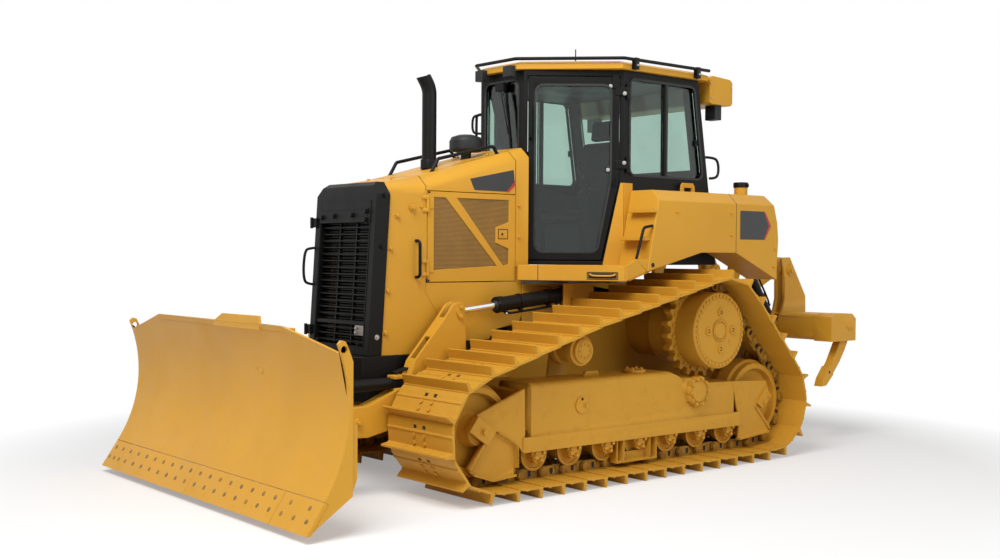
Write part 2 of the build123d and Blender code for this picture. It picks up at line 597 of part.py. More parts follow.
def hood_rails():
    """The bent handrails along both edges of the hood."""
    rails = []
    under = hood_solid(-SEAT_GAP, 2000.0, 1500.0, HOOD_REAR_X)
    for s in (-1, 1):
        y = s * 262
        feet = [(x, y, hood_side_z(x) + HOOD_CROWN - 8) for x in (1229, 605)]
        rails.append(bar_along([feet[0], (1165, y, 2318), (650, y, 2440), feet[1]], 13, 30) - under)
    return rails


# ---- cab --------------------------------------------------------------------------------------
def cab_outline(grow):
    """The cab's plan: narrow front wall, slanted door walls, straight sides."""
    dx, dy = CAB_FRONT_X - CAB_CORNER_X, CAB_HALF - CAB_FRONT_HALF
    length = hypot(dx, dy)
    shift = grow / (dy / length) if dy else grow
    front_half = CAB_FRONT_HALF + grow * (length - dy) / dx
    corner_x = CAB_CORNER_X + grow * (length - dx) / dy
    left = [(CAB_FRONT_X + grow, front_half), (corner_x, CAB_HALF + grow), (-1700, CAB_HALF + grow)]
    return left + [(x, -y) for x, y in reversed(left)]


def cab_solid(grow, z0, z1):
    """The cab's outer shape between two heights, cut by the sloping rear wall."""
    body = plan_plate(cab_outline(grow), z0, z1)
    top, foot = CAB_REAR_TOP_X - grow, CAB_REAR_FOOT_X - grow
    slope = (foot - top) / (CAB_TOP - CAB_FLOOR)
    low_x, high_x = foot + slope * (CAB_FLOOR - z0), top - slope * (z1 - CAB_TOP)
    return body - side_plate(((low_x, z0), (high_x, z1), (-1900, z1 + 1), (-1900, z0 - 1)), -900, 900)


def door_plane(offset=0.0):
    """The plane of the left door wall: x runs back along it, y runs up."""
    a = Vector(CAB_FRONT_X, CAB_FRONT_HALF, 0)
    b = Vector(CAB_CORNER_X, CAB_HALF, 0)
    along = (b - a).normalized()
    out = Vector(-along.Y, along.X, 0) * -1
    return Plane(origin=a + out * offset, x_dir=along, z_dir=along.cross(Vector(0, 0, 1)))


DOOR_OUTLINE = ((34, 1588), (600, 1588), (730, 2190), (730, 2992), (34, 2992))
DOOR_GLASS = ((88, 1650), (566, 1650), (668, 2205), (668, 2930), (88, 2930))


def on_door(points, start, thick):
    """A plate with an outline in the door's own plane; start and thick measure outwards."""
    plane = door_plane()
    out = plane.z_dir
    lift = Vector(out.X, out.Y, 0) * start
    pts = [plane.origin + plane.x_dir * s + Vector(0, 0, z) + lift for s, z in points]
    face = make_face(Polyline(*[(p.X, p.Y, p.Z) for p in pts], close=True))
    return extrude(face, amount=thick, dir=(out.X, out.Y, out.Z))


def grown(points, by):
    """An outline moved outwards by a distance."""
    cx = sum(p[0] for p in points) / len(points)
    cz = sum(p[1] for p in points) / len(points)
    return [(x + by * (1 if x > cx else -1), z + by * (1 if z > cz else -1)) for x, z in points]


def cab_frame():
    """The cab's frame: floor, posts, sills and head, with every window and doorway cut."""
    shell = cab_solid(0, CAB_FLOOR, CAB_TOP) - cab_solid(-CAB_WALL, CAB_FLOOR + 40, CAB_TOP - 60)
    # front windscreen, side and rear windows
    shell = shell - block(CAB_FRONT_X - 80, CAB_FRONT_X + 40, -CAB_FRONT_HALF + 60, CAB_FRONT_HALF - 60, 1960, 2975)
    window = side_plate(((-300, 2245), (-300, 2985), (-1040, 2985), (-1155, 2245)), CAB_HALF - 70, CAB_HALF + 70)
    shell = shell - window - other_side(window)
    shell = shell - block(-1500, -900, -620, 620, 2330, 2985)
    doorway = on_door(grown(DOOR_OUTLINE, DOOR_GAP), -80, 160)
    shell = shell - doorway - other_side(doorway)
    pillar = block(-735, -695, CAB_HALF - 50, CAB_HALF, 2240, 2990)
    shell = shell + pillar + other_side(pillar)
    for z in CAB_HINGE_Z:
        fixed = cab_hinge_fixed(z)
        shell = shell + fixed + other_side(fixed)
    return shell


def cab_hinge_fixed(z):
    """The cab's half of one door hinge: two knuckles on a leaf, and the pin between them."""
    x, y = CAB_HINGE_X, CAB_HINGE_Y
    shape = rod_between((x, y, z - 60), (x, y, z + 60), 7)
    for z0, z1 in ((z - 60, z - 32), (z + 32, z + 60)):
        shape = shape + rod_between((x, y, z0), (x, y, z1), 14) + block(x - 36, x, CAB_HALF - 2, y - 4, z0, z1)
    return shape


def cab_hinge_moving(z):
    """The door's half of one hinge: a knuckle on a leaf, before its bore is cut."""
    knuckle = rod_between((CAB_HINGE_X, CAB_HINGE_Y, z - 31.5), (CAB_HINGE_X, CAB_HINGE_Y, z + 31.5), 14)
    leaf = on_door(((700, z - 31.5), (799, z - 31.5), (799, z + 31.5), (700, z + 31.5)), 5.2, 9.3)
    return knuckle + leaf


def cab_glass():
    """The fixed panes: windscreen, two side panes and the rear pane."""
    shapes = [block(CAB_FRONT_X - 30, CAB_FRONT_X - 30 + GLASS_THICK, -CAB_FRONT_HALF + 60.3, CAB_FRONT_HALF - 60.3,
                    1960.3, 2974.7)]
    pane = side_plate(((-300.5, 2245.5), (-300.5, 2984.5), (-1039.5, 2984.5), (-1154.5, 2245.5)),
                      CAB_HALF - 30, CAB_HALF - 30 + GLASS_THICK)
    pane = pane - block(-735.3, -694.7, CAB_HALF - 62, CAB_HALF + 38, 2200, 3000)
    shapes += [pane, other_side(pane)]
    slope = (CAB_REAR_FOOT_X - CAB_REAR_TOP_X) / (CAB_TOP - CAB_FLOOR)
    at = lambda z: CAB_REAR_TOP_X + slope * (CAB_TOP - z)
    rear = side_plate(((at(2330.3) + 30, 2330.3), (at(2984.7) + 30, 2984.7), (at(2984.7) + 22, 2984.7),
                       (at(2330.3) + 22, 2330.3)), -619.7, 619.7)
    return shapes + [rear]


def cab_door():
    """The left cab door's frame, as thick as the wall, with its two hinges."""
    frame = on_door(DOOR_OUTLINE, -44, 50) - on_door(DOOR_GLASS, -60, 90)
    for z in CAB_HINGE_Z:
        frame = frame + cab_hinge_moving(z)
        frame = frame - rod_between((CAB_HINGE_X, CAB_HINGE_Y, z - 40), (CAB_HINGE_X, CAB_HINGE_Y, z + 40), 7.05)
    return frame


def door_glass():
    """The pane of the left cab door."""
    return on_door(grown(DOOR_GLASS, -0.4), -24, GLASS_THICK)


def roof():
    """The roof panel, chamfered all round its top edge."""
    half = CAB_HALF + ROOF_OVERHANG
    left = [(392, 232), (-178, half), (-1165, half), (-1215, half - 60)]
    plan = left + [(x, -y) for x, y in reversed(left)]
    low = plan_plate(plan, CAB_TOP + 0.3, CAB_TOP + 42)
    cx = -400
    small = [(cx + (x - cx) * 0.93, y * 0.93) for x, y in plan]
    cap = loft([make_face(Polyline(*[(x, y, CAB_TOP + 42) for x, y in plan], close=True)),
                make_face(Polyline(*[(x, y, ROOF_TOP) for x, y in small], close=True))], ruled=True)
    return low + cap


def roof_rail():
    """The thin black rail round the roof's edge."""
    z = CAB_TOP + 78
    edge = CAB_HALF + ROOF_OVERHANG
    left = [(414, 240, z), (-172, edge + 24, z), (-1150, edge + 24, z)]
    points = [(x, y, zz) for x, y, zz in reversed(left)] + [(x, -y, zz) for x, y, zz in left]
    rail = bar_along(points, 13, 40)
    clamps = [block(x - 22, x + 22, s * (edge + 0.3), s * (edge + 38), CAB_TOP + 5, CAB_TOP + 92)
              for x in (-300, -1010) for s in (-1, 1)]
    for c in clamps:
        rail = rail + c
    return rail


def roof_box():
    """The cooling unit that overhangs the roof's rear."""
    half = CAB_HALF + ROOF_OVERHANG - 20
    return side_plate(((-1215.3, 2880), (-1215.3, 3082), (-1250, 3100), (-1470, 3086), (-1500, 3060), (-1500, 2890),
                       (-1480, 2868), (-1240, 2868)), -half, half)


def lamps():
    """Work lamps: two under the rear box and two on the roof's front corners."""
    shapes = []
    for s in (-1, 1):
        shapes.append(block(-1390, -1310, s * 700 - 55, s * 700 + 55, 2748, 2867.7))
        shapes.append(block(392.3, 446, s * 170 - 45, s * 170 + 45, 2990, 3075))
    return shapes


def seat_base():
    """The seat's suspension box and its two armrest consoles."""
    shapes = [block(-700, -300, -210, 210, CAB_FLOOR + 40.3, CAB_FLOOR + 330)]
    for s in (-1, 1):
        y0, y1 = sorted((s * 270, s * 400))
        shapes.append(side_plate(((-760, CAB_FLOOR + 40.3), (-760, CAB_FLOOR + 560), (-280, CAB_FLOOR + 620),
                                  (-200, CAB_FLOOR + 560), (-320, CAB_FLOOR + 40.3)), y0, y1))
    return shapes


def seat_cushion():
    """The seat's cushion."""
    return fillet(block(-740, -230, -245, 245, CAB_FLOOR + 330.3, CAB_FLOOR + 450).edges(), 30)


def seat_back():
    """The seat's backrest and headrest."""
    back = side_plate(((-735, CAB_FLOOR + 450.3), (-600, CAB_FLOOR + 450.3), (-700, CAB_FLOOR + 1030),
                       (-810, CAB_FLOOR + 1030)), -235, 235)
    rest = side_plate(((-800, CAB_FLOOR + 1020), (-720, CAB_FLOOR + 1020), (-745, CAB_FLOOR + 1200),
                       (-815, CAB_FLOOR + 1200)), -140, 140)
    return back + rest


def dashboard():
    """The front console with its display, and the two control levers."""
    console = side_plate(((290, CAB_FLOOR + 40.3), (290, CAB_FLOOR + 640), (250, CAB_FLOOR + 760),
                          (150, CAB_FLOOR + 700), (170, CAB_FLOOR + 40.3)), -170, 170)
    return console


# ---- tanks, steps and trim --------------------------------------------------------------------
def fender():
    """The left tank: a closed box over the track's rear, chamfered along its top edge."""
    outline = ((-310, FENDER_TOP), (-176, 1504), (-785, 1651), (-1200, 1651), (-1722, 1432), (-1742, 1760),
               (-1727, 1900), (-1655, FENDER_TOP))
    tank = side_plate(outline, FENDER_IN, FENDER_OUT)
    cut = front_plate(((FENDER_OUT - FENDER_CHAMFER, FENDER_TOP), (FENDER_OUT, FENDER_TOP - FENDER_CHAMFER),
                       (FENDER_OUT + 50, FENDER_TOP - FENDER_CHAMFER), (FENDER_OUT + 50, FENDER_TOP + 50),
                       (FENDER_OUT - FENDER_CHAMFER, FENDER_TOP + 50)), -1900, -100)
    tank = tank - cut
    return tank


def platform():
    """The left running board between hood and tank, and the panel behind the door's slanted edge."""
    edge = FENDER_OUT - 10
    board = plan_plate(((522, 400), (522, 415), (60, edge), (-300, edge), (-300, 400)), 1436, CAB_FLOOR - 0.3)
    board = board - plan_plate(((490, 430), (50, edge - 20), (-290, edge - 20), (-290, 430)), 1420, 1512)
    board = board - side_plate(((12, 1435), (-320, 1538), (-320, 1400), (12, 1400)), 300, 1200)
    skirt = side_plate(((40, 1440), (-176, 1507), (-303, 1545), (-303, SKIRT_TOP), (-60, SKIRT_TOP), (40, 1545)),
                       edge - 20, edge + 4)
    corner = on_door(((612, CAB_FLOOR + 4), (742, 2182), (768, 2182), (768, CAB_FLOOR + 4)), 0.3, 8)
    wall = side_plate(((CAB_CORNER_X, CAB_FLOOR - 1), (CAB_CORNER_X, 2182), (-330, 2182), (-330, CAB_FLOOR - 1)),
                      CAB_HALF + 0.3, FENDER_IN + 2)
    foot = on_door(((612, CAB_FLOOR - 4), (612, CAB_FLOOR + 8), (768, CAB_FLOOR + 8), (768, CAB_FLOOR - 4)), 0.3, 8)
    return board + skirt + corner + wall + foot - fender()


def steps():
    """Two open steps up the front of the tank."""
    shapes = []
    # front x, top z, how far the outer end stops short of the tank's side
    for x, z, short in ((-215, 1975, 2), (-130, 1765, 30)):
        shapes.append(block(-420, x, FENDER_OUT - 248, FENDER_OUT - short, z - 26, z) - fender())
    return shapes


def tank_caps():
    """The filler necks with their caps on both tanks."""
    align = (Align.CENTER, Align.CENTER, Align.MIN)
    return [Pos(-1470, s * (FENDER_OUT - 180), FENDER_TOP) * Cylinder(62, 60, align=align) for s in (-1, 1)]


def grab_handles():
    """Grab handles: in front of the tank, and on the hood's cheek."""
    shapes = []
    for s in (-1, 1):
        y = s * (FENDER_OUT - 18)
        grip = bar_along([(-68, y, 1588), (-150, y, 1836), (-241.5, y, 1850)], 11, 35)
        shapes.append(grip - block(-200, 50, y - 40, y + 40, 1500, SKIRT_TOP + SEAT_GAP))
        inner, outer = s * (HOOD_HALF + 0.3), s * (HOOD_HALF + 50)
        shapes.append(bar_along([(1440, inner, 1465), (1440, outer, 1465), (1440, outer, 1720), (1440, inner, 1720)],
                                11, 30))
    return shapes


def antenna():
    """The whip antenna on the roof."""
    return rod_between((-640, -210, ROOF_TOP), (-640, -210, ROOF_TOP + 255), 5)


# ---- push frame -------------------------------------------------------------------------------
def push_frame():
    """The push frame: two arms on their trunnions, a cross tube, the ball post and the lift towers."""
    arm = side_plate(((TRUNNION_X - 95, TRUNNION_Z - 50), (TRUNNION_X - 95, TRUNNION_Z + 50),
                      (TRUNNION_X - 50, TRUNNION_Z + 95), (1060, 735), (1640, 735), (1960, 610), (2330, 600),
                      (2330, 420), (1960, 400), (1480, 500), (1000, 530), (TRUNNION_X - 50, TRUNNION_Z - 95)),
                     ARM_IN, ARM_OUT)
    arm = arm - drum_y(TRUNNION_X, TRUNNION_Z, 62.05, ARM_IN - 10, ARM_OUT + 10)
    left = arm + lift_tower()
    cross = plan_plate(((2150, -ARM_OUT), (2150, ARM_OUT), (2320, ARM_OUT), (2395, 160), (2400, 90), (2400, -90),
                        (2395, -160), (2320, -ARM_OUT)), 405, 598)
    frame = left + other_side(left) + cross
    clevis = block(2380, 2400, -76, 76, 350, 650)
    for z in (350, 590):
        clevis = clevis + block(2380, BALL_X, -76, 76, z, z + 60) + rod_between((BALL_X, 0, z), (BALL_X, 0, z + 60), 76)
    frame = frame + clevis - rod_between((BALL_X, 0, 300), (BALL_X, 0, 700), 45.05)
    for s in (-1, 1):
        y = s * ANGLE_Y
        frame = frame + block(ANGLE_BASE_X - 60, ANGLE_BASE_X + 48, y - 46, y + 46, 600, ANGLE_Z + 55)
        frame = frame - block(ANGLE_BASE_X - 46, ANGLE_BASE_X + 100, y - 60, y + 60, ANGLE_Z - 30, ANGLE_Z + 30)
        frame = frame + rod_between((ANGLE_BASE_X, y, ANGLE_Z - 50), (ANGLE_BASE_X, y, ANGLE_Z + 55), 22)
    return frame


def lift_tower():
    """The left lift tower: two cheeks and a slotted front plate, with the pin for the cylinder's eye."""
    tower = side_plate(((1128, 730), (1130, 984), (1138, 1258), (1160, 1282), (1189, 1289), (1220, 1283),
                        (1247, 1268), (1318, 1178), (1573, 895), (1640, 730)), ARM_IN + 2, ARM_OUT - 2)
    inside = side_plate(((1100, 760), (1100, 1400), (1400, 1400), (1302, 1166), (1556, 884), (1606, 760)),
                        LIFT_Y - 31, LIFT_Y + 31)
    window = side_plate(((1400, 1000), (1460, 1110), (1600, 980), (1530, 860)), LIFT_Y - 31, LIFT_Y + 31)
    pin = drum_y(TOWER_PIN_X, TOWER_PIN_Z, LIFT_PIN_R, ARM_IN + 4, ARM_OUT - 2)
    return tower - inside - window + pin


def blade_yoke():
    """The swivel yoke between push frame and blade: it turns on an upright pin and carries the blade's spigot."""
    pin = rod_between((BALL_X, 0, 345), (BALL_X, 0, 655), 45)
    head = block(BALL_X - 46, BALL_X + 86, -70, 70, 411, 589)
    wing = front_plate(((-70, 411), (70, 411), (120, 560), (560, 690), (560, 800), (250, 800), (160, 960),
                        (-210, 960), (-240, 800), (-560, 800), (-560, 690), (-120, 560)), 2584, 2606)
    spigot = rod_between((2605, 0, BALL_Z), (2652, 0, BALL_Z), 55)
    yoke = pin + head + wing + spigot
    for s in (-1, 1):
        yoke = yoke + rod_between((ANGLE_EYE_X, s * ANGLE_Y, ANGLE_Z - 60), (ANGLE_EYE_X, s * ANGLE_Y, ANGLE_Z - 26), 18)
        yoke = yoke + rod_between((ANGLE_EYE_X, s * ANGLE_Y, ANGLE_Z + 26), (ANGLE_EYE_X, s * ANGLE_Y, ANGLE_Z + 62), 18)
        for z in (ANGLE_Z - 45, ANGLE_Z + 25):
            yoke = yoke + block(ANGLE_EYE_X, 2586, s * ANGLE_Y - 42, s * ANGLE_Y + 42, z, z + 20)
            yoke = yoke + rod_between((ANGLE_EYE_X, s * ANGLE_Y, z), (ANGLE_EYE_X, s * ANGLE_Y, z + 20), 42)
        yoke = yoke - block(2570, 2620, s * ANGLE_Y - 75, s * ANGLE_Y + 75, ANGLE_Z - 25, ANGLE_Z + 25)
    base_pin = rod_between((2600, TILT_BASE_Y, TILT_Z), (TILT_X + 24, TILT_BASE_Y, TILT_Z), 18)
    return yoke + base_pin


# ---- blade ------------------------------------------------------------------------------------
def blade_face_points(offset):
    """The mouldboard's front curve moved back by offset: heel, hollow and top."""
    return ((BLADE_HEEL_X - offset, BLADE_HEEL_Z), (BLADE_HOLLOW_X - offset, BLADE_HOLLOW_Z),
            (BLADE_TOP_X - offset, BLADE_TOP_Z))


def edge_place(down, behind):
    """An (x, z) place on the cutting edge: down from the heel along its face, and behind that face."""
    dx, dz = BLADE_TIP_X - BLADE_HEEL_X, BLADE_TIP_Z - BLADE_HEEL_Z
    ux, uz = dx / hypot(dx, dz), dz / hypot(dx, dz)
    return BLADE_HEEL_X + ux * down + uz * behind, BLADE_HEEL_Z + uz * down - ux * behind


def mouldboard_sheet(front, back, y0, y1):
    """The curved plate between two depths behind the face."""
    a, b, c = blade_face_points(front)
    d, e, f = blade_face_points(back)
    up = lambda p: (p[0], y0, p[1])
    edges = [ThreePointArc(up(a), up(b), up(c)), Line(up(c), up(f)), ThreePointArc(up(f), up(e), up(d)),
             Line(up(d), up(a))]
    return extrude(make_face(edges), amount=y1 - y0, dir=(0, 1, 0))


def blade():
    """The blade: curved mouldboard, end plates with lifting ears, and the stiff box behind."""
    shapes = mouldboard_sheet(0, 24, -BLADE_HALF, BLADE_HALF)
    corner = front_plate(((BLADE_FLAT_HALF, BLADE_TOP_Z + 1), (BLADE_HALF + 1, BLADE_CORNER_Z),
                          (BLADE_HALF + 1, BLADE_TOP_Z + 100), (BLADE_FLAT_HALF, BLADE_TOP_Z + 100)), 2500, 3000)
    shapes = shapes - corner - other_side(corner)
    end_outline = ((BLADE_TIP_X - 50, BLADE_TIP_Z + 18), (BLADE_TIP_X - 80, BLADE_TIP_Z + 40), (2660, 236),
                   (2660, 1010), (2690, 1085), (2712, 1128), (2740, 1136), (2766, 1110), (2792, BLADE_CORNER_Z),
                   edge_place(-EDGE_SEAT, 0), edge_place(-EDGE_SEAT, EDGE_THICK + EDGE_SEAT))
    end = side_plate(end_outline, BLADE_HALF - 26, BLADE_HALF)
    end = end - mouldboard_sheet(-200, 0, BLADE_HALF - 27, BLADE_HALF + 1)
    end = end - drum_y(EAR_X, EAR_Z, EAR_R, BLADE_HALF - 40, BLADE_HALF + 10)
    shapes = shapes + end + other_side(end)
    box = side_plate(((BLADE_HEEL_X - 26, 226), (2652, 236), (2614, 330), (2614, 640), (2682, 700), (2682, 560),
                      (2700, 450)), -BLADE_HALF + 25, BLADE_HALF - 25)
    top_rail = block(2690, 2780, -BLADE_FLAT_HALF, BLADE_FLAT_HALF, BLADE_TOP_Z - 40, BLADE_TOP_Z - 16)
    shapes = shapes + box + top_rail
    for y in (-980, -560, 560, 980):
        rib = side_plate(((2616, 640), (2672, 1040), (2776, 1150), (2700, 700)), y - 12, y + 12)
        shapes = shapes + (rib - mouldboard_sheet(-200, 2, y - 13, y + 13))
    # the raised guard over the tilt cylinder
    shapes = shapes + front_plate(((-21, BLADE_TOP_Z - 40), (-21, BLADE_TOP_Z - 8), (99, BLADE_TOP_Z + 46),
                                   (584, BLADE_TOP_Z + 49), (596, BLADE_TOP_Z - 8), (596, BLADE_TOP_Z - 40)),
                                  BLADE_TOP_X - 22, BLADE_TOP_X - 4)
    shapes = shapes - rod_between((2590, 0, BALL_Z), (2660, 0, BALL_Z), 55.05)
    boss = rod_between((TILT_X + 28, TILT_EYE_Y, TILT_Z), (2702, TILT_EYE_Y, TILT_Z), 34)
    return shapes + boss


def cutting_edges():
    """The bolt-on cutting edges: two centre lengths and an end bit at each side."""
    length = hypot(BLADE_TIP_X - BLADE_HEEL_X, BLADE_TIP_Z - BLADE_HEEL_Z)
    outline = (edge_place(0, 0), edge_place(length, 0), edge_place(length - 18, EDGE_THICK),
               edge_place(0, EDGE_THICK))
    shapes = []
    # start and end across the blade
    for y0, y1 in ((-BLADE_HALF, -1215.0), (-1212.0, -97.0), (-94.0, 1030.0), (1033.0, BLADE_HALF)):
        shapes.append(side_plate(outline, y0, y1))
    return shapes


# ---- cylinders --------------------------------------------------------------------------------
def cylinder_barrel(base, eye, length, radius):
    """A cylinder's barrel from its base pin towards the rod's eye, with its end cap."""
    a, b = Vector(*base), Vector(*eye)
    u = (b - a).normalized()
    tube = rod_between(tuple(a + u * 62), tuple(a + u * length), radius)
    return tube + rod_between(tuple(a + u * (length - 55)), tuple(a + u * length), radius + 6)


def lift_cylinder():
    """The left lift cylinder: barrel and rod, with the pin at each end."""
    base = (LIFT_BASE_X, LIFT_Y, LIFT_BASE_Z)
    eye = (TOWER_PIN_X, LIFT_Y, TOWER_PIN_Z)
    a, b = Vector(*base), Vector(*eye)
    u = (b - a).normalized()
    barrel = cylinder_barrel(base, eye, LIFT_BARREL, LIFT_BARREL_R)
    barrel = barrel + drum_y(LIFT_BASE_X, LIFT_BASE_Z, 64, LIFT_Y - 34, LIFT_Y + 34)
    barrel = barrel - rod_between(tuple(a + u * 120), tuple(a + u * (LIFT_BARREL + 5)), LIFT_ROD_R + 0.05)
    barrel = barrel - drum_y(LIFT_BASE_X, LIFT_BASE_Z, 30.05, LIFT_Y - 40, LIFT_Y + 40)
    rod = rod_between(tuple(a + u * 440), tuple(b - u * 36), LIFT_ROD_R)
    rod = rod + drum_y(TOWER_PIN_X, TOWER_PIN_Z, 50, LIFT_Y - 27, LIFT_Y + 27)
    rod = rod - drum_y(TOWER_PIN_X, TOWER_PIN_Z, LIFT_EYE_R, LIFT_Y - 40, LIFT_Y + 40)
    return barrel, rod


def lift_bracket():
    """The bracket on the hull that carries the lift cylinder's base pin between two plates."""
    x, low, high = LIFT_BASE_X, LIFT_BASE_Z - 147, LIFT_BASE_Z + 82
    inner = block(x - 90, x + 40, HULL_HALF - 5, 462, 1200, 1376)
    outer = block(x - 215, x + 100, 562, 577, low, high)
    web = block(x - 215, x - 200, HULL_HALF - 5, 563, low, 1400)
    pin = drum_y(x, LIFT_BASE_Z, 30, 455, 570)
    return inner + outer + web + pin


def angle_cylinder():
    """The left angle cylinder, from the push frame's arm to the yoke's wing; its pins stand upright."""
    y, z = ANGLE_Y, ANGLE_Z
    barrel = rod_between((ANGLE_BASE_X + 62, y, z), (ANGLE_BASE_X + 556, y, z), 42)
    barrel = barrel + block(ANGLE_BASE_X, ANGLE_BASE_X + 64, y - 38, y + 38, z - 24, z + 24)
    barrel = barrel + rod_between((ANGLE_BASE_X + 510, y, z), (ANGLE_BASE_X + 560, y, z), 47)
    barrel = barrel + rod_between((ANGLE_BASE_X, y, z - 24), (ANGLE_BASE_X, y, z + 24), 40)
    barrel = barrel - rod_between((ANGLE_BASE_X + 78, y, z), (ANGLE_BASE_X + 566, y, z), 18.05)
    barrel = barrel - rod_between((ANGLE_BASE_X, y, z - 60), (ANGLE_BASE_X, y, z + 60), 22.05)
    rod = rod_between((ANGLE_EYE_X - 552, y, z), (ANGLE_EYE_X - 20, y, z), 18)
    rod = rod + rod_between((ANGLE_EYE_X, y, z - 19), (ANGLE_EYE_X, y, z + 19), 30)
    return barrel, rod


def tilt_cylinder():
    """The tilt cylinder, across the back of the blade from the yoke to a boss on the blade."""
    x, z = TILT_X, TILT_Z
    barrel = rod_between((x, TILT_BASE_Y + 20, z), (x, TILT_BASE_Y + 400, z), 26)
    barrel = barrel + rod_between((x - 24, TILT_BASE_Y, z), (x + 24, TILT_BASE_Y, z), 34)
    barrel = barrel - rod_between((x, TILT_BASE_Y + 60, z), (x, TILT_BASE_Y + 410, z), 18.05)
    barrel = barrel - rod_between((x - 60, TILT_BASE_Y, z), (x + 60, TILT_BASE_Y, z), 18.05)
    rod = rod_between((x, TILT_EYE_Y - 330, z), (x, TILT_EYE_Y - 10, z), 18)
    rod = rod + rod_between((x - 22, TILT_EYE_Y, z), (x + 22, TILT_EYE_Y, z), 30)
    return barrel, rod


# ---- ripper -----------------------------------------------------------------------------------
def ripper_bracket():
    """The bracket on the hull's rear face: lugs for the lower arms and links, cheeks for the cylinders."""
    shapes = block(HULL_REAR_X - 30, HULL_REAR_X - 0.2, -505, 505, 545, 1180)
    top_x, top_z = RIP_PIVOT_X + RIP_TOP_DX, RIP_PIVOT_Z + RIP_TOP_DZ
    for s in (-1, 1):
        for y0, y1 in ((385, 412), (478, 505)):
            lug = side_plate(((HULL_REAR_X - 10, 560), (HULL_REAR_X - 10, 740), (RIP_PIVOT_X - 30, 715),
                              (RIP_PIVOT_X - 72, 660), (RIP_PIVOT_X - 72, 610), (RIP_PIVOT_X - 30, 562)),
                             *sorted((s * y0, s * y1)))
            shapes = shapes + lug
        link_lug = side_plate(((HULL_REAR_X - 10, 1060), (HULL_REAR_X - 10, 1178), (top_x, top_z + 52), (top_x - 48, top_z + 20),
                               (top_x - 48, top_z - 30), (top_x, top_z - 52)), *sorted((s * 296, s * 332)))
        cheek = side_plate(((HULL_REAR_X - 10, 800), (HULL_REAR_X - 10, 1170), (-1895, 1560), (-1950, 1640), (-2020, 1640),
                            (-2045, 1590), (-2035, 1530), (-1960, 1340), (-1890, 1100), (-1870, 800)),
                           *sorted((s * 425, s * 468)))
        shapes = shapes + link_lug + cheek
        shapes = shapes + drum_y(RIP_PIVOT_X, RIP_PIVOT_Z, 40, s * 385, s * 505)
        shapes = shapes + drum_y(top_x, top_z, 28, s * 296, s * 380)
        shapes = shapes + drum_y(RIP_CYL_BASE_X, RIP_CYL_BASE_Z, 28, s * 425, s * 560)
    return shapes


def arm_plate(ax, az, bx, bz, half, y0, y1, waist=0.8):
    """A straight arm between two pins, rounded at both ends."""
    ends = drum_y(ax, az, half, y0, y1) + drum_y(bx, bz, half, y0, y1)
    length = hypot(bx - ax, bz - az)
    ux, uz = (bx - ax) / length, (bz - az) / length
    nx, nz = -uz * half * waist, ux * half * waist
    web = side_plate(((ax + nx, az + nz), (bx + nx, bz + nz), (bx - nx, bz - nz), (ax - nx, az - nz)), y0, y1)
    return ends + web


def ripper_arms():
    """The two lower arms with the tube that joins them."""
    shapes = None
    for s in (-1, 1):
        y0, y1 = sorted((s * RIP_ARM_IN, s * RIP_ARM_OUT))
        arm = arm_plate(RIP_PIVOT_X, RIP_PIVOT_Z, RIP_LOW_X, RIP_LOW_Z, 68, y0, y1)
        boss = drum_y(RIP_CYL_EYE_X, RIP_CYL_EYE_Z, 55, y0, y1)
        root = side_plate(((-2300, 830), (RIP_CYL_EYE_X - 40, RIP_CYL_EYE_Z + 30), (RIP_CYL_EYE_X + 45, RIP_CYL_EYE_Z + 10),
                           (-2280, 900), (-2200, 800)), y0, y1)
        arm = arm + boss + root
        arm = arm - drum_y(RIP_PIVOT_X, RIP_PIVOT_Z, 40.05, s * 380, s * 510)
        arm = arm - drum_y(RIP_LOW_X, RIP_LOW_Z, 36.05, s * 380, s * 510)
        arm = arm + drum_y(RIP_CYL_EYE_X, RIP_CYL_EYE_Z, 28, s * 440, s * 487.4)
        shapes = arm if shapes is None else shapes + arm
    tube = drum_y(-2240, 809, 45, -RIP_ARM_IN - 2, RIP_ARM_IN + 2)
    return shapes + tube


def ripper_links():
    """The two upper links that keep the ripper's beam upright."""
    ax, az = RIP_PIVOT_X + RIP_TOP_DX, RIP_PIVOT_Z + RIP_TOP_DZ
    bx, bz = RIP_LOW_X + RIP_TOP_DX, RIP_LOW_Z + RIP_TOP_DZ
    link = arm_plate(ax, az, bx, bz, 46, 341, 375)
    link = link - drum_y(ax, az, 28.05, 330, 390) - drum_y(bx, bz, 28.05, 330, 390)
    return [link]


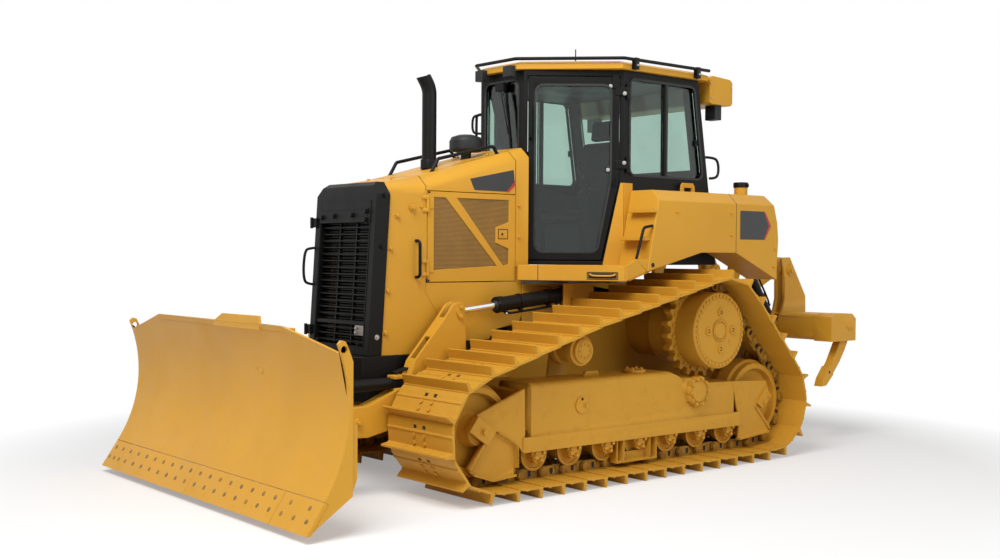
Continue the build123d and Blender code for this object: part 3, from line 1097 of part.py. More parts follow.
def ripper_beam():
    """The ripper's beam: a box with a shank pocket at each end and in the middle, and its two towers."""
    x0, x1, z0, z1 = RIP_BEAM
    beam = side_plate(((x0 + 30, z0), (x1 - 30, z0), (x1, z0 + 30), (x1, z1 - 30), (x1 - 30, z1), (x0 + 30, z1),
                       (x0, z1 - 30), (x0, z0 + 30)), -RIP_BEAM_HALF + 4, RIP_BEAM_HALF - 4)
    for y in RIP_SHANK_Y:
        pocket = side_plate(((x0 - 14, z0 - 6), (x1 + 8, z0 - 6), (x1 + 8, z1 - 20), (x1 - 60, z1 + 10), (x0 + 40, z1 + 4),
                             (x0 - 14, z1 - 40)), y - 90, y + 90)
        beam = beam + pocket
    for y in RIP_SHANK_Y:
        beam = beam - block(-2888, -2748, y - 38, y + 38, z0 - 20, z1 - 60)
    for s in (-1, 1):
        for y0, y1 in ((385, 412), (478, 505)):
            plate = side_plate(((-2556, 1590), (-2580, 1614), (-2670, 1617), (-2908, 1260), (-2912, 1110), (-2850, 960),
                                (-2690, 915), (-2625, 915), (-2560, 960), (-2540, 1040), (-2600, 1240), (-2596, 1420)),
                               *sorted((s * y0, s * y1)))
            beam = beam + plate
        # room for the arm's head between the plates
        beam = beam - drum_y(RIP_LOW_X, RIP_LOW_Z, 78, s * 414, s * 476)
        beam = beam - side_plate(((RIP_LOW_X, 905), (RIP_LOW_X, 1065), (-2400, 1200), (-2400, 700)),
                                 *sorted((s * 414, s * 476)))
        beam = beam + drum_y(RIP_LOW_X, RIP_LOW_Z, 36, s * 385, s * 505)
        beam = beam + drum_y(RIP_LOW_X + RIP_TOP_DX, RIP_LOW_Z + RIP_TOP_DZ, 28, s * 336, s * 505)
    return beam


def ripper_shanks():
    """The three curved shanks with their points."""
    shapes = []
    for y in RIP_SHANK_Y:
        outline = ((-2880, 1040), (-2760, 1040), (-2752, 880), (-2640, 700), (-2520, 560), (-2478, 492), (-2540, 500),
                   (-2640, 585), (-2740, 690), (-2820, 800), (-2878, 900))
        shapes.append(side_plate(outline, y - 37.7, y + 37.7))
    return shapes


def ripper_cylinder():
    """The left ripper cylinder: barrel pinned on the hull's cheek, rod on the lower arm."""
    base = (RIP_CYL_BASE_X, RIP_CYL_Y, RIP_CYL_BASE_Z)
    eye = (RIP_CYL_EYE_X, RIP_CYL_Y, RIP_CYL_EYE_Z)
    a, b = Vector(*base), Vector(*eye)
    u = (b - a).normalized()
    y = RIP_CYL_Y
    barrel = rod_between(tuple(a + u * 25), tuple(a + u * 575), 42)
    barrel = barrel + rod_between(tuple(a + u * 525), tuple(a + u * 580), 46)
    barrel = barrel + drum_y(a.X, a.Z, 44, y - 32, y + 32)
    barrel = barrel - rod_between(tuple(a + u * 62), tuple(a + u * 600), 22.05)
    barrel = barrel - drum_y(a.X, a.Z, 28.05, y - 60, y + 60)
    rod = rod_between(tuple(b - u * 590), tuple(b - u * 20), 22)
    rod = rod + drum_y(b.X, b.Z, 42, y - 32, y + 32)
    return barrel, rod


def make_all():
    """Every node of the machine, by name."""
    nodes = {}
    nodes["main_frame"] = main_frame()
    nodes["pivot_shaft"] = one(pivot_shaft())
    nodes["nose_beams"] = nose()
    nodes["engine"] = engine()
    nodes["radiator"] = radiator()
    nodes["hood"] = hood()
    nodes["radiator_guard"] = guard()
    nodes["grille"] = grille()
    nodes["exhaust_stack"] = exhaust()
    nodes["air_precleaner"] = pre_cleaner()
    nodes["cab_frame"] = cab_frame()
    nodes["cab_glass"] = one(cab_glass())
    nodes["cab_roof"] = roof()
    nodes["roof_rail"] = roof_rail()
    nodes["roof_cooler"] = roof_box()
    nodes["work_lamps"] = one(lamps())
    nodes["antenna"] = antenna()
    nodes["seat_cushion"] = seat_cushion()
    nodes["seat_back"] = seat_back()
    nodes["cab_controls"] = one(seat_base() + [dashboard()])
    nodes["tanks"] = one(both_sides([fender()]))
    nodes["steps"] = one(both_sides([platform()] + steps()))
    nodes["tank_caps"] = one(tank_caps())
    nodes["handrails"] = one(hood_rails() + grab_handles())
    track = make_track()
    nodes["track_left"] = track
    nodes["track_right"] = other_side(track)
    frame = track_frame()
    nodes["track_frames"] = one([frame, other_side(frame)])
    nodes["idlers"] = one(both_sides([idler(FRONT_IDLER_X), idler(REAR_IDLER_X)]))
    rollers = [bottom_roller(ROLLER_FIRST_X - i * ROLLER_STEP) for i in range(ROLLER_COUNT)]
    nodes["track_rollers"] = one(both_sides(rollers + [carrier_roller()]))
    nodes["final_drives"] = one(both_sides([final_drive()]))
    nodes["engine_door_left"] = engine_door()
    nodes["engine_door_right"] = other_side(engine_door())
    nodes["cab_door_left"] = cab_door()
    nodes["cab_door_right"] = other_side(cab_door())
    nodes["door_glass_left"] = door_glass()
    nodes["door_glass_right"] = other_side(door_glass())
    nodes["push_frame"] = push_frame()
    nodes["blade_yoke"] = blade_yoke()
    nodes["blade"] = blade()
    nodes["cutting_edges"] = one(cutting_edges())
    barrel, rod = lift_cylinder()
    nodes["lift_barrel_left"] = barrel
    nodes["lift_barrel_right"] = other_side(barrel)
    nodes["lift_rod_left"] = rod
    nodes["lift_rod_right"] = other_side(rod)
    barrel, rod = angle_cylinder()
    nodes["angle_barrel_left"] = barrel
    nodes["angle_barrel_right"] = other_side(barrel)
    nodes["angle_rod_left"] = rod
    nodes["angle_rod_right"] = other_side(rod)
    nodes["tilt_barrel"], nodes["tilt_rod"] = tilt_cylinder()
    nodes["ripper_bracket"] = ripper_bracket()
    nodes["ripper_arms"] = ripper_arms()
    nodes["ripper_links"] = one(both_sides(ripper_links()))
    nodes["ripper_beam"] = ripper_beam()
    nodes["ripper_shanks"] = one(ripper_shanks())
    barrel, rod = ripper_cylinder()
    nodes["ripper_barrel_left"] = barrel
    nodes["ripper_barrel_right"] = other_side(barrel)
    nodes["ripper_rod_left"] = rod
    nodes["ripper_rod_right"] = other_side(rod)
    return nodes


if __name__ == "__main__":
    os.makedirs("parts", exist_ok=True)
    for name, shape in make_all().items():
        export_step(shape, f"parts/{name}.step")
        print(name, len(shape.solids()), round(shape.volume / 1e6, 2))
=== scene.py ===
from math import asin, atan2, cos, hypot, pi, radians, sin

import bmesh
import bpy
from bpy.props import FloatProperty, FloatVectorProperty, IntProperty, PointerProperty
from mathutils import Matrix, Vector
from mathutils.bvhtree import BVHTree
from mathutils.kdtree import KDTree


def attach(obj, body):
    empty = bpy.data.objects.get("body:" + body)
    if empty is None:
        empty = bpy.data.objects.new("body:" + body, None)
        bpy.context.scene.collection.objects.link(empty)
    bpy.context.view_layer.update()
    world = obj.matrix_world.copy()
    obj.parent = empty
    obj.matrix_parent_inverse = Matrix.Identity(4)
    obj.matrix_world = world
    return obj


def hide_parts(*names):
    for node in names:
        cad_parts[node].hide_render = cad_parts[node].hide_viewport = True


bl_info = {
    "name": "Bulldozer Finish",
    "version": (1, 0, 0),
    "blender": (4, 5, 0),
    "location": "View3D > Sidebar > Dozer",
    "description": "Builds the visible surfaces of a crawler bulldozer round its fixed frame",
    "category": "Object",
}

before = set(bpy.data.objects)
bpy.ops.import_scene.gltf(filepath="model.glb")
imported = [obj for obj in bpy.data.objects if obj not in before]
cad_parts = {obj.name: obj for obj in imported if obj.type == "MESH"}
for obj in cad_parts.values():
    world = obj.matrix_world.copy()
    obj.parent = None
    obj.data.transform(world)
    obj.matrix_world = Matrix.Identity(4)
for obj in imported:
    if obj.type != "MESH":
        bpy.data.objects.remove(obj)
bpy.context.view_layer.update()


# ---- settings a user would change -------------------------------------------------------------
class PaintSettings(bpy.types.PropertyGroup):
    """Colours and gloss of the machine's finishes."""

    yellow: FloatVectorProperty(
        name="Yellow", description="Body colour", subtype="COLOR", size=3, default=(0.63, 0.315, 0.028))
    black: FloatVectorProperty(
        name="Black", description="Cab frame and guard colour", subtype="COLOR", size=3,
        default=(0.0055, 0.0055, 0.0052))
    soil: FloatVectorProperty(
        name="Soil", description="Fine dust that settles in the running gear", subtype="COLOR", size=3,
        default=(0.20, 0.115, 0.035))
    tint: FloatVectorProperty(
        name="Glass tint", description="Colour of the cab's glass", subtype="COLOR", size=3,
        default=(0.56, 0.70, 0.64))
    badge_red: FloatVectorProperty(
        name="Badge stripe", description="Stripe on the blank side panels", subtype="COLOR", size=3,
        default=(0.45, 0.02, 0.015))
    gloss: FloatProperty(
        name="Paint roughness", description="Roughness of the body paint", min=0.0, max=1.0, default=0.40,
        subtype="FACTOR")


class TrackSettings(bpy.types.PropertyGroup):
    """Sizes of the tracks, as the frame's fixed loops have them."""

    gauge: FloatProperty(
        name="Gauge", description="Between the middles of the tracks", default=1.880, unit="LENGTH")
    shoe_width: FloatProperty(
        name="Shoe width", description="Width of one shoe", default=0.710, unit="LENGTH")
    shoe_count: IntProperty(name="Shoes", description="Shoes on one track", default=41, min=20, max=60)
    bolt: FloatProperty(
        name="Shoe bolt", description="Width across the flats of a shoe bolt", default=0.028, unit="LENGTH")


class BodySettings(bpy.types.PropertyGroup):
    """Edges of the bodywork."""

    edge_factor: FloatProperty(
        name="Edge rounding", description="Rounding of the plate edges, against each plate's usual amount",
        default=1.0, min=0.0, subtype="FACTOR")


class StageSettings(bpy.types.PropertyGroup):
    """Camera, floor and light."""

    camera_place: FloatVectorProperty(
        name="Camera place", description="Where the camera stands", size=3, unit="LENGTH",
        default=(6.4656, 7.3143, 1.6366))
    heading: FloatProperty(
        name="Heading", description="Turn of the camera about the vertical", default=radians(140.12),
        subtype="ANGLE")
    pitch: FloatProperty(
        name="Pitch", description="How far the camera looks down", default=radians(1.2143), subtype="ANGLE")
    roll: FloatProperty(
        name="Roll", description="Turn of the camera about its own axis", default=radians(0.38),
        subtype="ANGLE")
    lens: FloatProperty(name="Lens", description="Focal length in millimetres", default=43.72)
    key: FloatProperty(
        name="Key light", description="Power of the large soft light", default=770.0, unit="POWER")
    fill: FloatProperty(name="Fill light", description="Power of the fill light", default=210.0, unit="POWER")
    sky: FloatProperty(name="Sky", description="Strength of the even light all round", default=0.30)


def paint():
    """The colours and gloss that are set."""
    return bpy.context.scene.dozer_paint


def track_sizes():
    """The track sizes that are set."""
    return bpy.context.scene.dozer_track


def body_sizes():
    """The bodywork's settings."""
    return bpy.context.scene.dozer_body


# ---- shape helpers ----------------------------------------------------------------------------
# a piece's second finish, as its faces number it
ACCENT = 1
WELD = 1e-6


def round_edges(bm, edges, width, segments=2, clamp=True):
    """Rounds edges by a width."""
    bmesh.ops.bevel(bm, geom=edges, offset=width, offset_type="OFFSET", segments=segments, affect="EDGES",
                    profile=0.5, material=-1, clamp_overlap=clamp)


def closed_up(bm):
    """Merges doubled points and turns every face outwards."""
    bmesh.ops.remove_doubles(bm, verts=bm.verts[:], dist=WELD)
    bmesh.ops.recalc_face_normals(bm, faces=bm.faces[:])
    return bm


def block(low, high, bevel=0.0, segments=2):
    """A box between two corners, with rounded edges."""
    low, high = Vector(low), Vector(high)
    bm = bmesh.new()
    size = high - low
    place = Matrix.Translation((low + high) / 2) @ Matrix.Diagonal((size.x, size.y, size.z, 1.0))
    bmesh.ops.create_cube(bm, size=1.0, matrix=place)
    if bevel:
        round_edges(bm, bm.edges[:], bevel, segments)
    return bm


def drum(radius, length, sides, bevel=0.0):
    """A round bar along Z from the origin, with softened ends."""
    bm = bmesh.new()
    bmesh.ops.create_cone(bm, cap_ends=True, segments=sides, radius1=radius, radius2=radius, depth=length,
                          matrix=Matrix.Translation((0, 0, length / 2)))
    if bevel:
        rims = [e for e in bm.edges if any(len(f.verts) > 4 for f in e.link_faces)]
        round_edges(bm, rims, bevel)
    return bm


def turned(profile, sides):
    """A wheel about Z spun from its (radius, height) profile, closed where the profile meets the axis."""
    bm = bmesh.new()
    verts = [bm.verts.new((r, 0, z)) for r, z in profile]
    edges = [bm.edges.new(pair) for pair in zip(verts, verts[1:])]
    bmesh.ops.spin(bm, geom=verts + edges, cent=(0, 0, 0), axis=(0, 0, 1), angle=2 * pi, steps=sides,
                   use_merge=True, use_normal_flip=False, use_duplicate=False)
    return closed_up(bm)


def ring(inner, outer, height, sides):
    """A flat ring about Z, standing on its zero height."""
    return turned([(inner, 0), (outer, 0), (outer, height), (inner, height), (inner, 0)], sides)


def prism(outline, depth, bevel=0.0, segments=2):
    """An (x, y) outline raised along Z by depth."""
    bm = bmesh.new()
    face = bm.faces.new([bm.verts.new((x, y, 0)) for x, y in outline])
    raised = bmesh.ops.extrude_face_region(bm, geom=[face])
    moved = [g for g in raised["geom"] if isinstance(g, bmesh.types.BMVert)]
    bmesh.ops.translate(bm, vec=(0, 0, depth), verts=moved)
    bmesh.ops.recalc_face_normals(bm, faces=bm.faces[:])
    if bevel:
        round_edges(bm, bm.edges[:], bevel, segments)
    return bm


def hex_bolt(width, height, washer):
    """A hexagon head of a width across its flats, on its washer, standing on Z = 0."""
    bm = bmesh.new()
    foot = 0.0
    if washer:
        foot = width * 0.12
        add(bm, drum(width * 0.95, foot, 14))
    # the corners stand further out than the flats
    head = drum(width * 0.577, height or width * 0.6, 6)
    top = [f for f in head.faces if f.normal.z > 0.9]
    bmesh.ops.inset_region(head, faces=top, thickness=width * 0.09, depth=width * 0.05)
    add(bm, head, Matrix.Translation((0, 0, foot)))
    return bm


def tube(points, radius, smooth=True):
    """A round bar along a line that rounds off the points' corners, or runs straight from point to point."""
    curve = bpy.data.curves.new("bar", "CURVE")
    curve.dimensions = "3D"
    spline = curve.splines.new("NURBS" if smooth else "POLY")
    spline.points.add(len(points) - 1)
    for point, place in zip(spline.points, points):
        point.co = (*place, 1.0)
    if smooth:
        spline.order_u = 3
        spline.use_endpoint_u = True
        spline.resolution_u = 6
    curve.bevel_depth = radius
    curve.bevel_resolution = 3
    curve.use_fill_caps = True
    holder = bpy.data.objects.new("bar", curve)
    mesh = bpy.data.meshes.new_from_object(holder)
    bm = bmesh.new()
    bm.from_mesh(mesh)
    bpy.data.objects.remove(holder)
    bpy.data.curves.remove(curve)
    bpy.data.meshes.remove(mesh)
    return closed_up(bm)


def add(bm, part, place=None, material=None, keep=False):
    """Puts a finished small shape into a larger one, and frees the small one unless it is kept."""
    if material is not None:
        for face in part.faces:
            face.material_index = material
    mesh = bpy.data.meshes.new("part")
    part.to_mesh(mesh)
    if place is not None:
        mesh.transform(place)
        if place.is_negative:
            mesh.flip_normals()
    bm.from_mesh(mesh)
    bpy.data.meshes.remove(mesh)
    if not keep:
        part.free()


def stamp(bm, part, places, material=None):
    """Puts one small shape at many places."""
    for place in places:
        add(bm, part, place, material, keep=True)
    part.free()


SIDES = ((1, "left"), (-1, "right"))


def handed(side):
    """The matrix that leaves a left-hand shape on the left, or mirrors it to the right."""
    return Matrix.Diagonal((1, side, 1, 1))


def on_side(bm, side):
    """A left-hand shape, or its mirrored twin for the right side; the first shape is used up."""
    twin = bmesh.new()
    add(twin, bm, handed(side))
    return twin


def both_sides(bm):
    """Adds the right-hand twin of everything in the shape."""
    add(bm, bm.copy(), handed(-1))


def facing(direction, place):
    """The matrix that stands a shape's Z axis along a direction at a place."""
    turn = Vector(direction).normalized().to_track_quat("Z", "Y")
    return Matrix.Translation(place) @ turn.to_matrix().to_4x4()


def side_on(place):
    """Turns an (x, y) outline raised along Z into an (x, z) outline raised along +Y."""
    turn = Matrix(((1, 0, 0, 0), (0, 0, 1, 0), (0, 1, 0, 0), (0, 0, 0, 1)))
    return Matrix.Translation(place) @ turn


def front_on(place):
    """Turns an (x, y) outline raised along Z into a (y, z) outline raised along +X."""
    turn = Matrix(((0, 0, 1, 0), (1, 0, 0, 0), (0, 1, 0, 0), (0, 0, 0, 1)))
    return Matrix.Translation(place) @ turn


def circle_places(centre, axis, radius, count, start=0.0):
    """Even places round a circle, each standing along the axis."""
    base = facing(axis, centre)
    return [base @ Matrix.Rotation(start + 2 * pi * k / count, 4, "Z") @ Matrix.Translation((radius, 0, 0))
            for k in range(count)]


def piece(name, bm, body, looks, replaces=(), angle=32.0, weighted=True):
    """Turns a finished shape into a piece that rides on a CAD body, with one or two named finishes."""
    mesh = bpy.data.meshes.new(name)
    bm.to_mesh(mesh)
    bm.free()
    for look in looks:
        mesh.materials.append(finish(look))
    mesh.shade_smooth()
    mesh.set_sharp_from_angle(angle=radians(angle))
    obj = bpy.data.objects.new(name, mesh)
    bpy.context.scene.collection.objects.link(obj)
    if weighted:
        even = obj.modifiers.new("Even normals", "WEIGHTED_NORMAL")
        even.keep_sharp = True
    if replaces:
        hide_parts(*replaces)
    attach(obj, body)
    return obj


# how near two points of a CAD node are one point, and how flat two of its faces are to be one face
NODE_WELD, FLAT = 2e-5, radians(0.4)
# edges sharper than this are rounded
SHARP = radians(28.0)
ROUNDING_TRIES = 6


def merged_copy(node, joined=True):
    """A copy of a CAD node's shape with its doubles merged and, where joined, its flat faces made one."""
    bm = bmesh.new()
    bm.from_mesh(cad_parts[node].data)
    bmesh.ops.remove_doubles(bm, verts=bm.verts[:], dist=NODE_WELD)
    if joined:
        bmesh.ops.dissolve_limit(bm, angle_limit=FLAT, verts=bm.verts[:], edges=bm.edges[:],
                                 use_dissolve_boundaries=False)
    for face in bm.faces:
        face.material_index = 0
    return bm


def softened(node, width):
    """A copy of a CAD node's shape with its plate edges rounded.

    Corners where the rounding strays off the surface are left sharp at the next try. If it still strays at
    the last one, the whole shape stays sharp.
    """
    if not width:
        return merged_copy(node, joined=False)
    plain = merged_copy(node)
    surface = BVHTree.FromBMesh(plain)
    corners = KDTree(len(plain.verts))
    for vert in plain.verts:
        corners.insert(vert.co, vert.index)
    corners.balance()
    kept_sharp = set()
    for _ in range(ROUNDING_TRIES):
        bm = plain.copy()
        edges = [e for e in bm.edges if e.is_manifold and e.calc_face_angle() > SHARP
                 and e.calc_length() > width * 0.8 and not any(v.index in kept_sharp for v in e.verts)]
        round_edges(bm, edges, width, clamp=False)
        strays = [v for v in bm.verts if surface.find_nearest(v.co)[3] > width * 0.9]
        if not strays:
            plain.free()
            return bm
        near = {v for stray in strays for e in stray.link_edges for v in e.verts}
        kept_sharp |= {corners.find(v.co)[1] for v in near}
        bm.free()
    return plain


def finished(node, body, look, width):
    """The finished surface of one CAD node, with its edges rounded by a width."""
    shape = softened(node, width * body_sizes().edge_factor)
    return piece(node + "_finished", shape, body, (look,), replaces=(node,))


# ---- materials --------------------------------------------------------------------------------
def blank_material(name, colour, roughness, metallic=0.0):
    """A material with its shader's own values set, and an object-space coordinate to build on."""
    material = bpy.data.materials.new(name)
    material.use_nodes = True
    tree = material.node_tree
    shader = tree.nodes["Principled BSDF"]
    shader.inputs["Base Color"].default_value = (*colour, 1.0)
    shader.inputs["Roughness"].default_value = roughness
    shader.inputs["Metallic"].default_value = metallic
    coordinates = tree.nodes.new("ShaderNodeTexCoord")
    return material, tree, shader, coordinates.outputs["Object"]


def noise(tree, vector, scale, detail, roughness=0.55):
    """A noise pattern's factor."""
    node = tree.nodes.new("ShaderNodeTexNoise")
    node.inputs["Scale"].default_value = scale
    node.inputs["Detail"].default_value = detail
    node.inputs["Roughness"].default_value = roughness
    tree.links.new(vector, node.inputs["Vector"])
    return node.outputs["Fac"]


def spread(tree, value, low, high, to_low=0.0, to_high=1.0):
    """A value remapped, clamped at both ends."""
    node = tree.nodes.new("ShaderNodeMapRange")
    node.inputs["From Min"].default_value = low
    node.inputs["From Max"].default_value = high
    node.inputs["To Min"].default_value = to_low
    node.inputs["To Max"].default_value = to_high
    tree.links.new(value, node.inputs["Value"])
    return node.outputs["Result"]


# a mix node's sockets for its factor, its two colours and their result
MIX_FACTOR, MIX_COLOURS, MIX_RESULT = 0, (6, 7), 2


def feed(tree, socket, value):
    """Gives a socket a plain value, a colour, or what another socket puts out."""
    if isinstance(value, bpy.types.NodeSocket):
        tree.links.new(value, socket)
    elif hasattr(value, "__len__"):
        socket.default_value = (*value, 1.0)
    else:
        socket.default_value = value


def blend(tree, factor, a, b):
    """A colour between a and b; each is a colour or a socket."""
    node = tree.nodes.new("ShaderNodeMix")
    node.data_type = "RGBA"
    feed(tree, node.inputs[MIX_FACTOR], factor)
    for place, value in zip(MIX_COLOURS, (a, b)):
        feed(tree, node.inputs[place], value)
    return node.outputs[MIX_RESULT]


def maths(tree, operation, a, b):
    """Two values joined by a maths operation."""
    node = tree.nodes.new("ShaderNodeMath")
    node.operation = operation
    for socket, value in zip(node.inputs, (a, b)):
        feed(tree, socket, value)
    return node.outputs["Value"]


def bump(tree, shader, height, strength, distance):
    """Puts a height pattern on the shader's normal, over any bump already there."""
    node = tree.nodes.new("ShaderNodeBump")
    node.inputs["Strength"].default_value = strength
    node.inputs["Distance"].default_value = distance
    tree.links.new(height, node.inputs["Height"])
    if shader.inputs["Normal"].is_linked:
        tree.links.new(shader.inputs["Normal"].links[0].from_socket, node.inputs["Normal"])
    tree.links.new(node.outputs["Normal"], shader.inputs["Normal"])


def shade(colour, factor):
    """A colour made darker or lighter."""
    return tuple(min(1.0, c * factor) for c in colour)


def upward(tree):
    """How far a surface faces up, from -1 to 1."""
    geometry = tree.nodes.new("ShaderNodeNewGeometry")
    split = tree.nodes.new("ShaderNodeSeparateXYZ")
    tree.links.new(geometry.outputs["Normal"], split.inputs[0])
    return split.outputs["Z"]


def height_of(tree, vector):
    """The object-space height."""
    split = tree.nodes.new("ShaderNodeSeparateXYZ")
    tree.links.new(vector, split.inputs[0])
    return split.outputs["Z"]


def waves(tree, vector, direction, scale):
    """Even stripes across one axis."""
    node = tree.nodes.new("ShaderNodeTexWave")
    node.bands_direction = direction
    node.inputs["Scale"].default_value = scale
    tree.links.new(vector, node.inputs["Vector"])
    return node.outputs["Fac"]


def cells(tree, vector, scale, randomness=1.0):
    """The distance from the middle of the nearest cell."""
    node = tree.nodes.new("ShaderNodeTexVoronoi")
    node.inputs["Scale"].default_value = scale
    node.inputs["Randomness"].default_value = randomness
    tree.links.new(vector, node.inputs["Vector"])
    return node.outputs["Distance"]


def mottle(tree, shader, place, scale, detail, dark, light, low=0.3, high=0.7):
    """Soft patches of two near colours as the base colour."""
    patches = spread(tree, noise(tree, place, scale, detail), low, high)
    tree.links.new(blend(tree, patches, dark, light), shader.inputs["Base Color"])


def seen_directly(tree):
    """1 for what the camera sees, also in a mirror and through glass; 0 for rays that only carry light."""
    rays = tree.nodes.new("ShaderNodeLightPath")
    bent = maths(tree, "MAXIMUM", rays.outputs["Is Glossy Ray"], rays.outputs["Is Transmission Ray"])
    return maths(tree, "MAXIMUM", rays.outputs["Is Camera Ray"], bent)


def sprayed_paint(name, colour, roughness, dust=0.12, soil=None, shine=0.25):
    """Sprayed paint: broad tone changes, fine orange peel, and dust that lies on upward faces low down."""
    material, tree, shader, place = blank_material(name, colour, roughness)
    shader.inputs["Specular IOR Level"].default_value = shine
    tone = blend(tree, spread(tree, noise(tree, place, 0.9, 3.0), 0.35, 0.65), shade(colour, 0.93),
                 shade(colour, 1.05))
    flecks = spread(tree, noise(tree, place, 14.0, 6.0, 0.7), 0.52, 0.78)
    up = spread(tree, upward(tree), -0.2, 1.0, 0.35, 1.0)
    low = spread(tree, height_of(tree, place), 0.1, 1.6, 1.0, 0.35)
    film = maths(tree, "MULTIPLY", maths(tree, "MULTIPLY", flecks, up), low)
    film = maths(tree, "MULTIPLY", film, dust)
    tree.links.new(blend(tree, film, tone, soil or paint().soil), shader.inputs["Base Color"])
    gloss = spread(tree, noise(tree, place, 5.0, 5.0), 0.3, 0.7, roughness - 0.06, roughness + 0.08)
    dulled = maths(tree, "ADD", gloss, maths(tree, "MULTIPLY", film, 1.2))
    tree.links.new(dulled, shader.inputs["Roughness"])
    bump(tree, shader, noise(tree, place, 420.0, 2.0), 0.05, 0.001)
    bump(tree, shader, noise(tree, place, 18.0, 3.0), 0.04, 0.004)
    return material


def yellow_paint():
    """The body's yellow."""
    return sprayed_paint("Yellow paint", paint().yellow, paint().gloss)


def black_paint():
    """The cab frame's and the guard's black, with a little grey dust."""
    return sprayed_paint("Black paint", paint().black, 0.42, dust=0.04, soil=(0.05, 0.045, 0.04), shine=0.15)


def running_gear_paint():
    """Yellow paint on the running gear, with soil in the lower parts."""
    return sprayed_paint("Running gear paint", shade(paint().yellow, 0.90), 0.50, dust=0.50)


def chain_finish():
    """Painted links gone brown with soil."""
    material, tree, shader, place = blank_material("Link chain", paint().soil, 0.62)
    shader.inputs["Specular IOR Level"].default_value = 0.25
    worn = spread(tree, noise(tree, place, 11.0, 6.0, 0.7), 0.32, 0.58)
    brown = shade(paint().soil, 0.80)
    tree.links.new(blend(tree, worn, brown, shade(paint().yellow, 0.66)), shader.inputs["Base Color"])
    tree.links.new(spread(tree, worn, 0.0, 1.0, 0.72, 0.48), shader.inputs["Roughness"])
    bump(tree, shader, noise(tree, place, 140.0, 5.0), 0.25, 0.002)
    return material


def chrome_finish():
    """A polished rod with faint wiping lines along it."""
    material, tree, shader, place = blank_material("Chromed rod", (0.86, 0.86, 0.87), 0.10, 1.0)
    streak = noise(tree, place, 60.0, 3.0)
    tree.links.new(spread(tree, streak, 0.3, 0.7, 0.06, 0.16), shader.inputs["Roughness"])
    bump(tree, shader, noise(tree, place, 300.0, 2.0), 0.01, 0.0005)
    return material


def bare_steel():
    """Machined or galvanised steel on small fasteners."""
    material, tree, shader, place = blank_material("Bare steel", (0.42, 0.41, 0.39), 0.42, 0.9)
    roughness = spread(tree, noise(tree, place, 40.0, 4.0), 0.3, 0.7, 0.32, 0.55)
    tree.links.new(roughness, shader.inputs["Roughness"])
    bump(tree, shader, noise(tree, place, 300.0, 3.0), 0.05, 0.001)
    return material


def cast_iron():
    """Rough dark casting."""
    material, tree, shader, place = blank_material("Dark casting", (0.020, 0.018, 0.016), 0.62)
    mottle(tree, shader, place, 8.0, 5.0, (0.014, 0.013, 0.012), (0.034, 0.030, 0.026), 0.35, 0.65)
    bump(tree, shader, noise(tree, place, 160.0, 4.0), 0.2, 0.002)
    return material


def rubber():
    """Matt black rubber for seals and piping."""
    material, tree, shader, place = blank_material("Rubber", (0.014, 0.014, 0.014), 0.68)
    mottle(tree, shader, place, 20.0, 4.0, (0.010, 0.010, 0.010), (0.022, 0.021, 0.020))
    bump(tree, shader, noise(tree, place, 500.0, 2.0), 0.08, 0.001)
    return material


def moulded_plastic():
    """Grained plastic inside and outside the cab."""
    colour = (0.014, 0.015, 0.016)
    material, tree, shader, place = blank_material("Moulded plastic", colour, 0.55)
    mottle(tree, shader, place, 6.0, 3.0, shade(colour, 0.85), shade(colour, 1.15))
    shader.inputs["Specular IOR Level"].default_value = 0.3
    bump(tree, shader, cells(tree, place, 900.0), 0.08, 0.0005)
    return material


def tinted_glass():
    """Clear glass with a green tint, a little uneven as rolled glass is."""
    material, tree, shader, place = blank_material("Tinted glass", paint().tint, 0.02)
    shader.inputs["Transmission Weight"].default_value = 1.0
    shader.inputs["IOR"].default_value = 1.45
    shader.inputs["Specular IOR Level"].default_value = 0.25
    mottle(tree, shader, place, 3.0, 2.0, shade(paint().tint, 0.96), shade(paint().tint, 1.03))
    bump(tree, shader, noise(tree, place, 2.5, 1.0), 0.02, 0.002)
    return material


def woven_cloth():
    """Seat fabric: a fine square weave."""
    colour = (0.022, 0.023, 0.025)
    material, tree, shader, place = blank_material("Woven cloth", colour, 0.9)
    along, across, up = (waves(tree, place, axis, 150.0) for axis in ("X", "Y", "Z"))
    weave = maths(tree, "MULTIPLY", maths(tree, "ADD", along, across), up)
    thread = blend(tree, spread(tree, weave, 0.0, 1.6), shade(colour, 0.85), shade(colour, 1.15))
    tree.links.new(thread, shader.inputs["Base Color"])
    shader.inputs["Specular IOR Level"].default_value = 0.2
    bump(tree, shader, weave, 0.12, 0.0005)
    return material


def near_black_and_painted_shade():
    """The near-black of joint lines, small dark parts and the radiator; in holes, windows and recesses it is
    painted shade.
    """
    material, tree, shader, place = blank_material("Near black and painted shade", (0.010, 0.008, 0.006), 0.85)
    mottle(tree, shader, place, 25.0, 4.0, (0.007, 0.005, 0.004), (0.018, 0.013, 0.008))
    bump(tree, shader, noise(tree, place, 200.0, 2.0), 0.1, 0.001)
    return material


def badge_film(name, colour):
    """A satin printed film with a very fine grain."""
    material, tree, shader, place = blank_material(name, colour, 0.32)
    mottle(tree, shader, place, 3.0, 2.0, shade(colour, 0.92), shade(colour, 1.08))
    bump(tree, shader, noise(tree, place, 900.0, 2.0), 0.04, 0.0004)
    return material


HOLES_PER_METRE = 110.0


